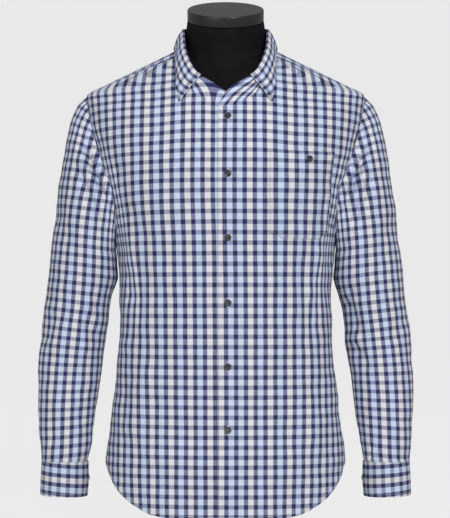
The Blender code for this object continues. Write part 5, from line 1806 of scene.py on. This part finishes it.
# ===== Armhole stitches =====
def sew_armholes():
    """Stitches beside the armhole, on the fronts, the back and the yoke."""
    for side in (1, -1):
        for outer_angle, inset, top in ((front_outer_angle, -SEAM_INSET, 0.003),
                                        (back_outer_angle, SEAM_INSET, 0.006)):
            levels = levels_between(UNDERARM_Z + 0.004, SHOULDER_Z - top)
            sew_skin(side * np.array([step_angle(outer_angle(z), z, inset) for z in levels]), levels)


# ===== Stage, light and camera =====
def build_stage():
    """A pale floor that runs up into a backdrop in one sweep."""
    sweep = [(-FLOOR_REACH, 0.0), (WALL_FOOT_Y, 0.0)]
    for turn in np.radians(np.linspace(-90, 0, 14)[1:]):
        sweep.append((WALL_FOOT_Y + SWEEP * math.cos(turn), SWEEP + SWEEP * math.sin(turn)))
    sweep.append((WALL_FOOT_Y + SWEEP, WALL_TOP_Z))
    line = np.array(sweep)
    across = np.linspace(-FLOOR_REACH, FLOOR_REACH, 5)
    grid = points(across, line[:, :1], line[:, 1:])
    g = Graph("backdrop_paper")
    colour = g.mix(g.noise(g.place(), 0.8), srgb("paper"), srgb("paper_pale"))
    glow = {"Emission Color": (1.0, 1.0, 1.0, 1.0), "Emission Strength": BACKDROP_GLOW}
    g.finish(colour, None, {**glow, "Roughness": 0.9, "Specular IOR Level": 0.1})
    quads = grid_quads(len(line), len(across), 0, False, True)
    floor = add_mesh("backdrop", grid.reshape(-1, 3), quads, g.material)
    floor.visible_diffuse = False
    floor.visible_glossy = False


def build_light():
    """Soft boxes at both sides of the camera and above, and an even room light."""
    for name, place, target, size, power in LIGHTS:
        data = bpy.data.lights.new(name, "AREA")
        data.shape = "RECTANGLE"
        data.size, data.size_y = size
        data.energy = power
        lamp = bpy.data.objects.new(name, data)
        lamp.location = place
        lamp.rotation_euler = (Vector(target) - Vector(place)).to_track_quat("-Z", "Y").to_euler()
        bpy.context.scene.collection.objects.link(lamp)
    world = bpy.data.worlds.new("room")
    world.use_nodes = True
    background = world.node_tree.nodes["Background"]
    background.inputs["Color"].default_value = (1.0, 1.0, 1.0, 1.0)
    background.inputs["Strength"].default_value = ROOM_LIGHT
    bpy.context.scene.world = world
    bpy.context.scene.view_settings.view_transform = "Standard"


def build_camera():
    """The photograph's view: level with the middle of the shirt, from three metres."""
    data = bpy.data.cameras.new("camera")
    data.sensor_width = SENSOR_MM
    data.lens = FOCAL_PX * SENSOR_MM / IMAGE_LONG_SIDE_PX
    camera = bpy.data.objects.new("camera", data)
    camera.location = CAMERA_AT
    camera.rotation_euler = (math.pi / 2 + CAMERA_PITCH, 0.0, 0.0)
    bpy.context.scene.collection.objects.link(camera)
    bpy.context.scene.camera = camera


# ===== Putting it together =====
build_camera()
build_front("front_left", 1, LEFT_EDGE_X)
build_front("front_right", -1, -RIGHT_EDGE_X)
build_back()
build_yoke()
for side_name, side_sign, side_folds in (("left", 1, LEFT_SLEEVE_FRONT_FOLDS + LEFT_SLEEVE_CREASES),
                                         ("right", -1, RIGHT_SLEEVE_FRONT_FOLDS + RIGHT_SLEEVE_CREASES)):
    build_placket("sleeve_placket_" + side_name, *build_sleeve("sleeve_" + side_name, side_sign, side_folds))
    build_cuff("cuff_" + side_name, side_sign)
build_leaf(*build_stand())
build_pocket()
sew_armholes()
build_buttons()
finish_stitches()
build_form()
build_stage()
build_light()
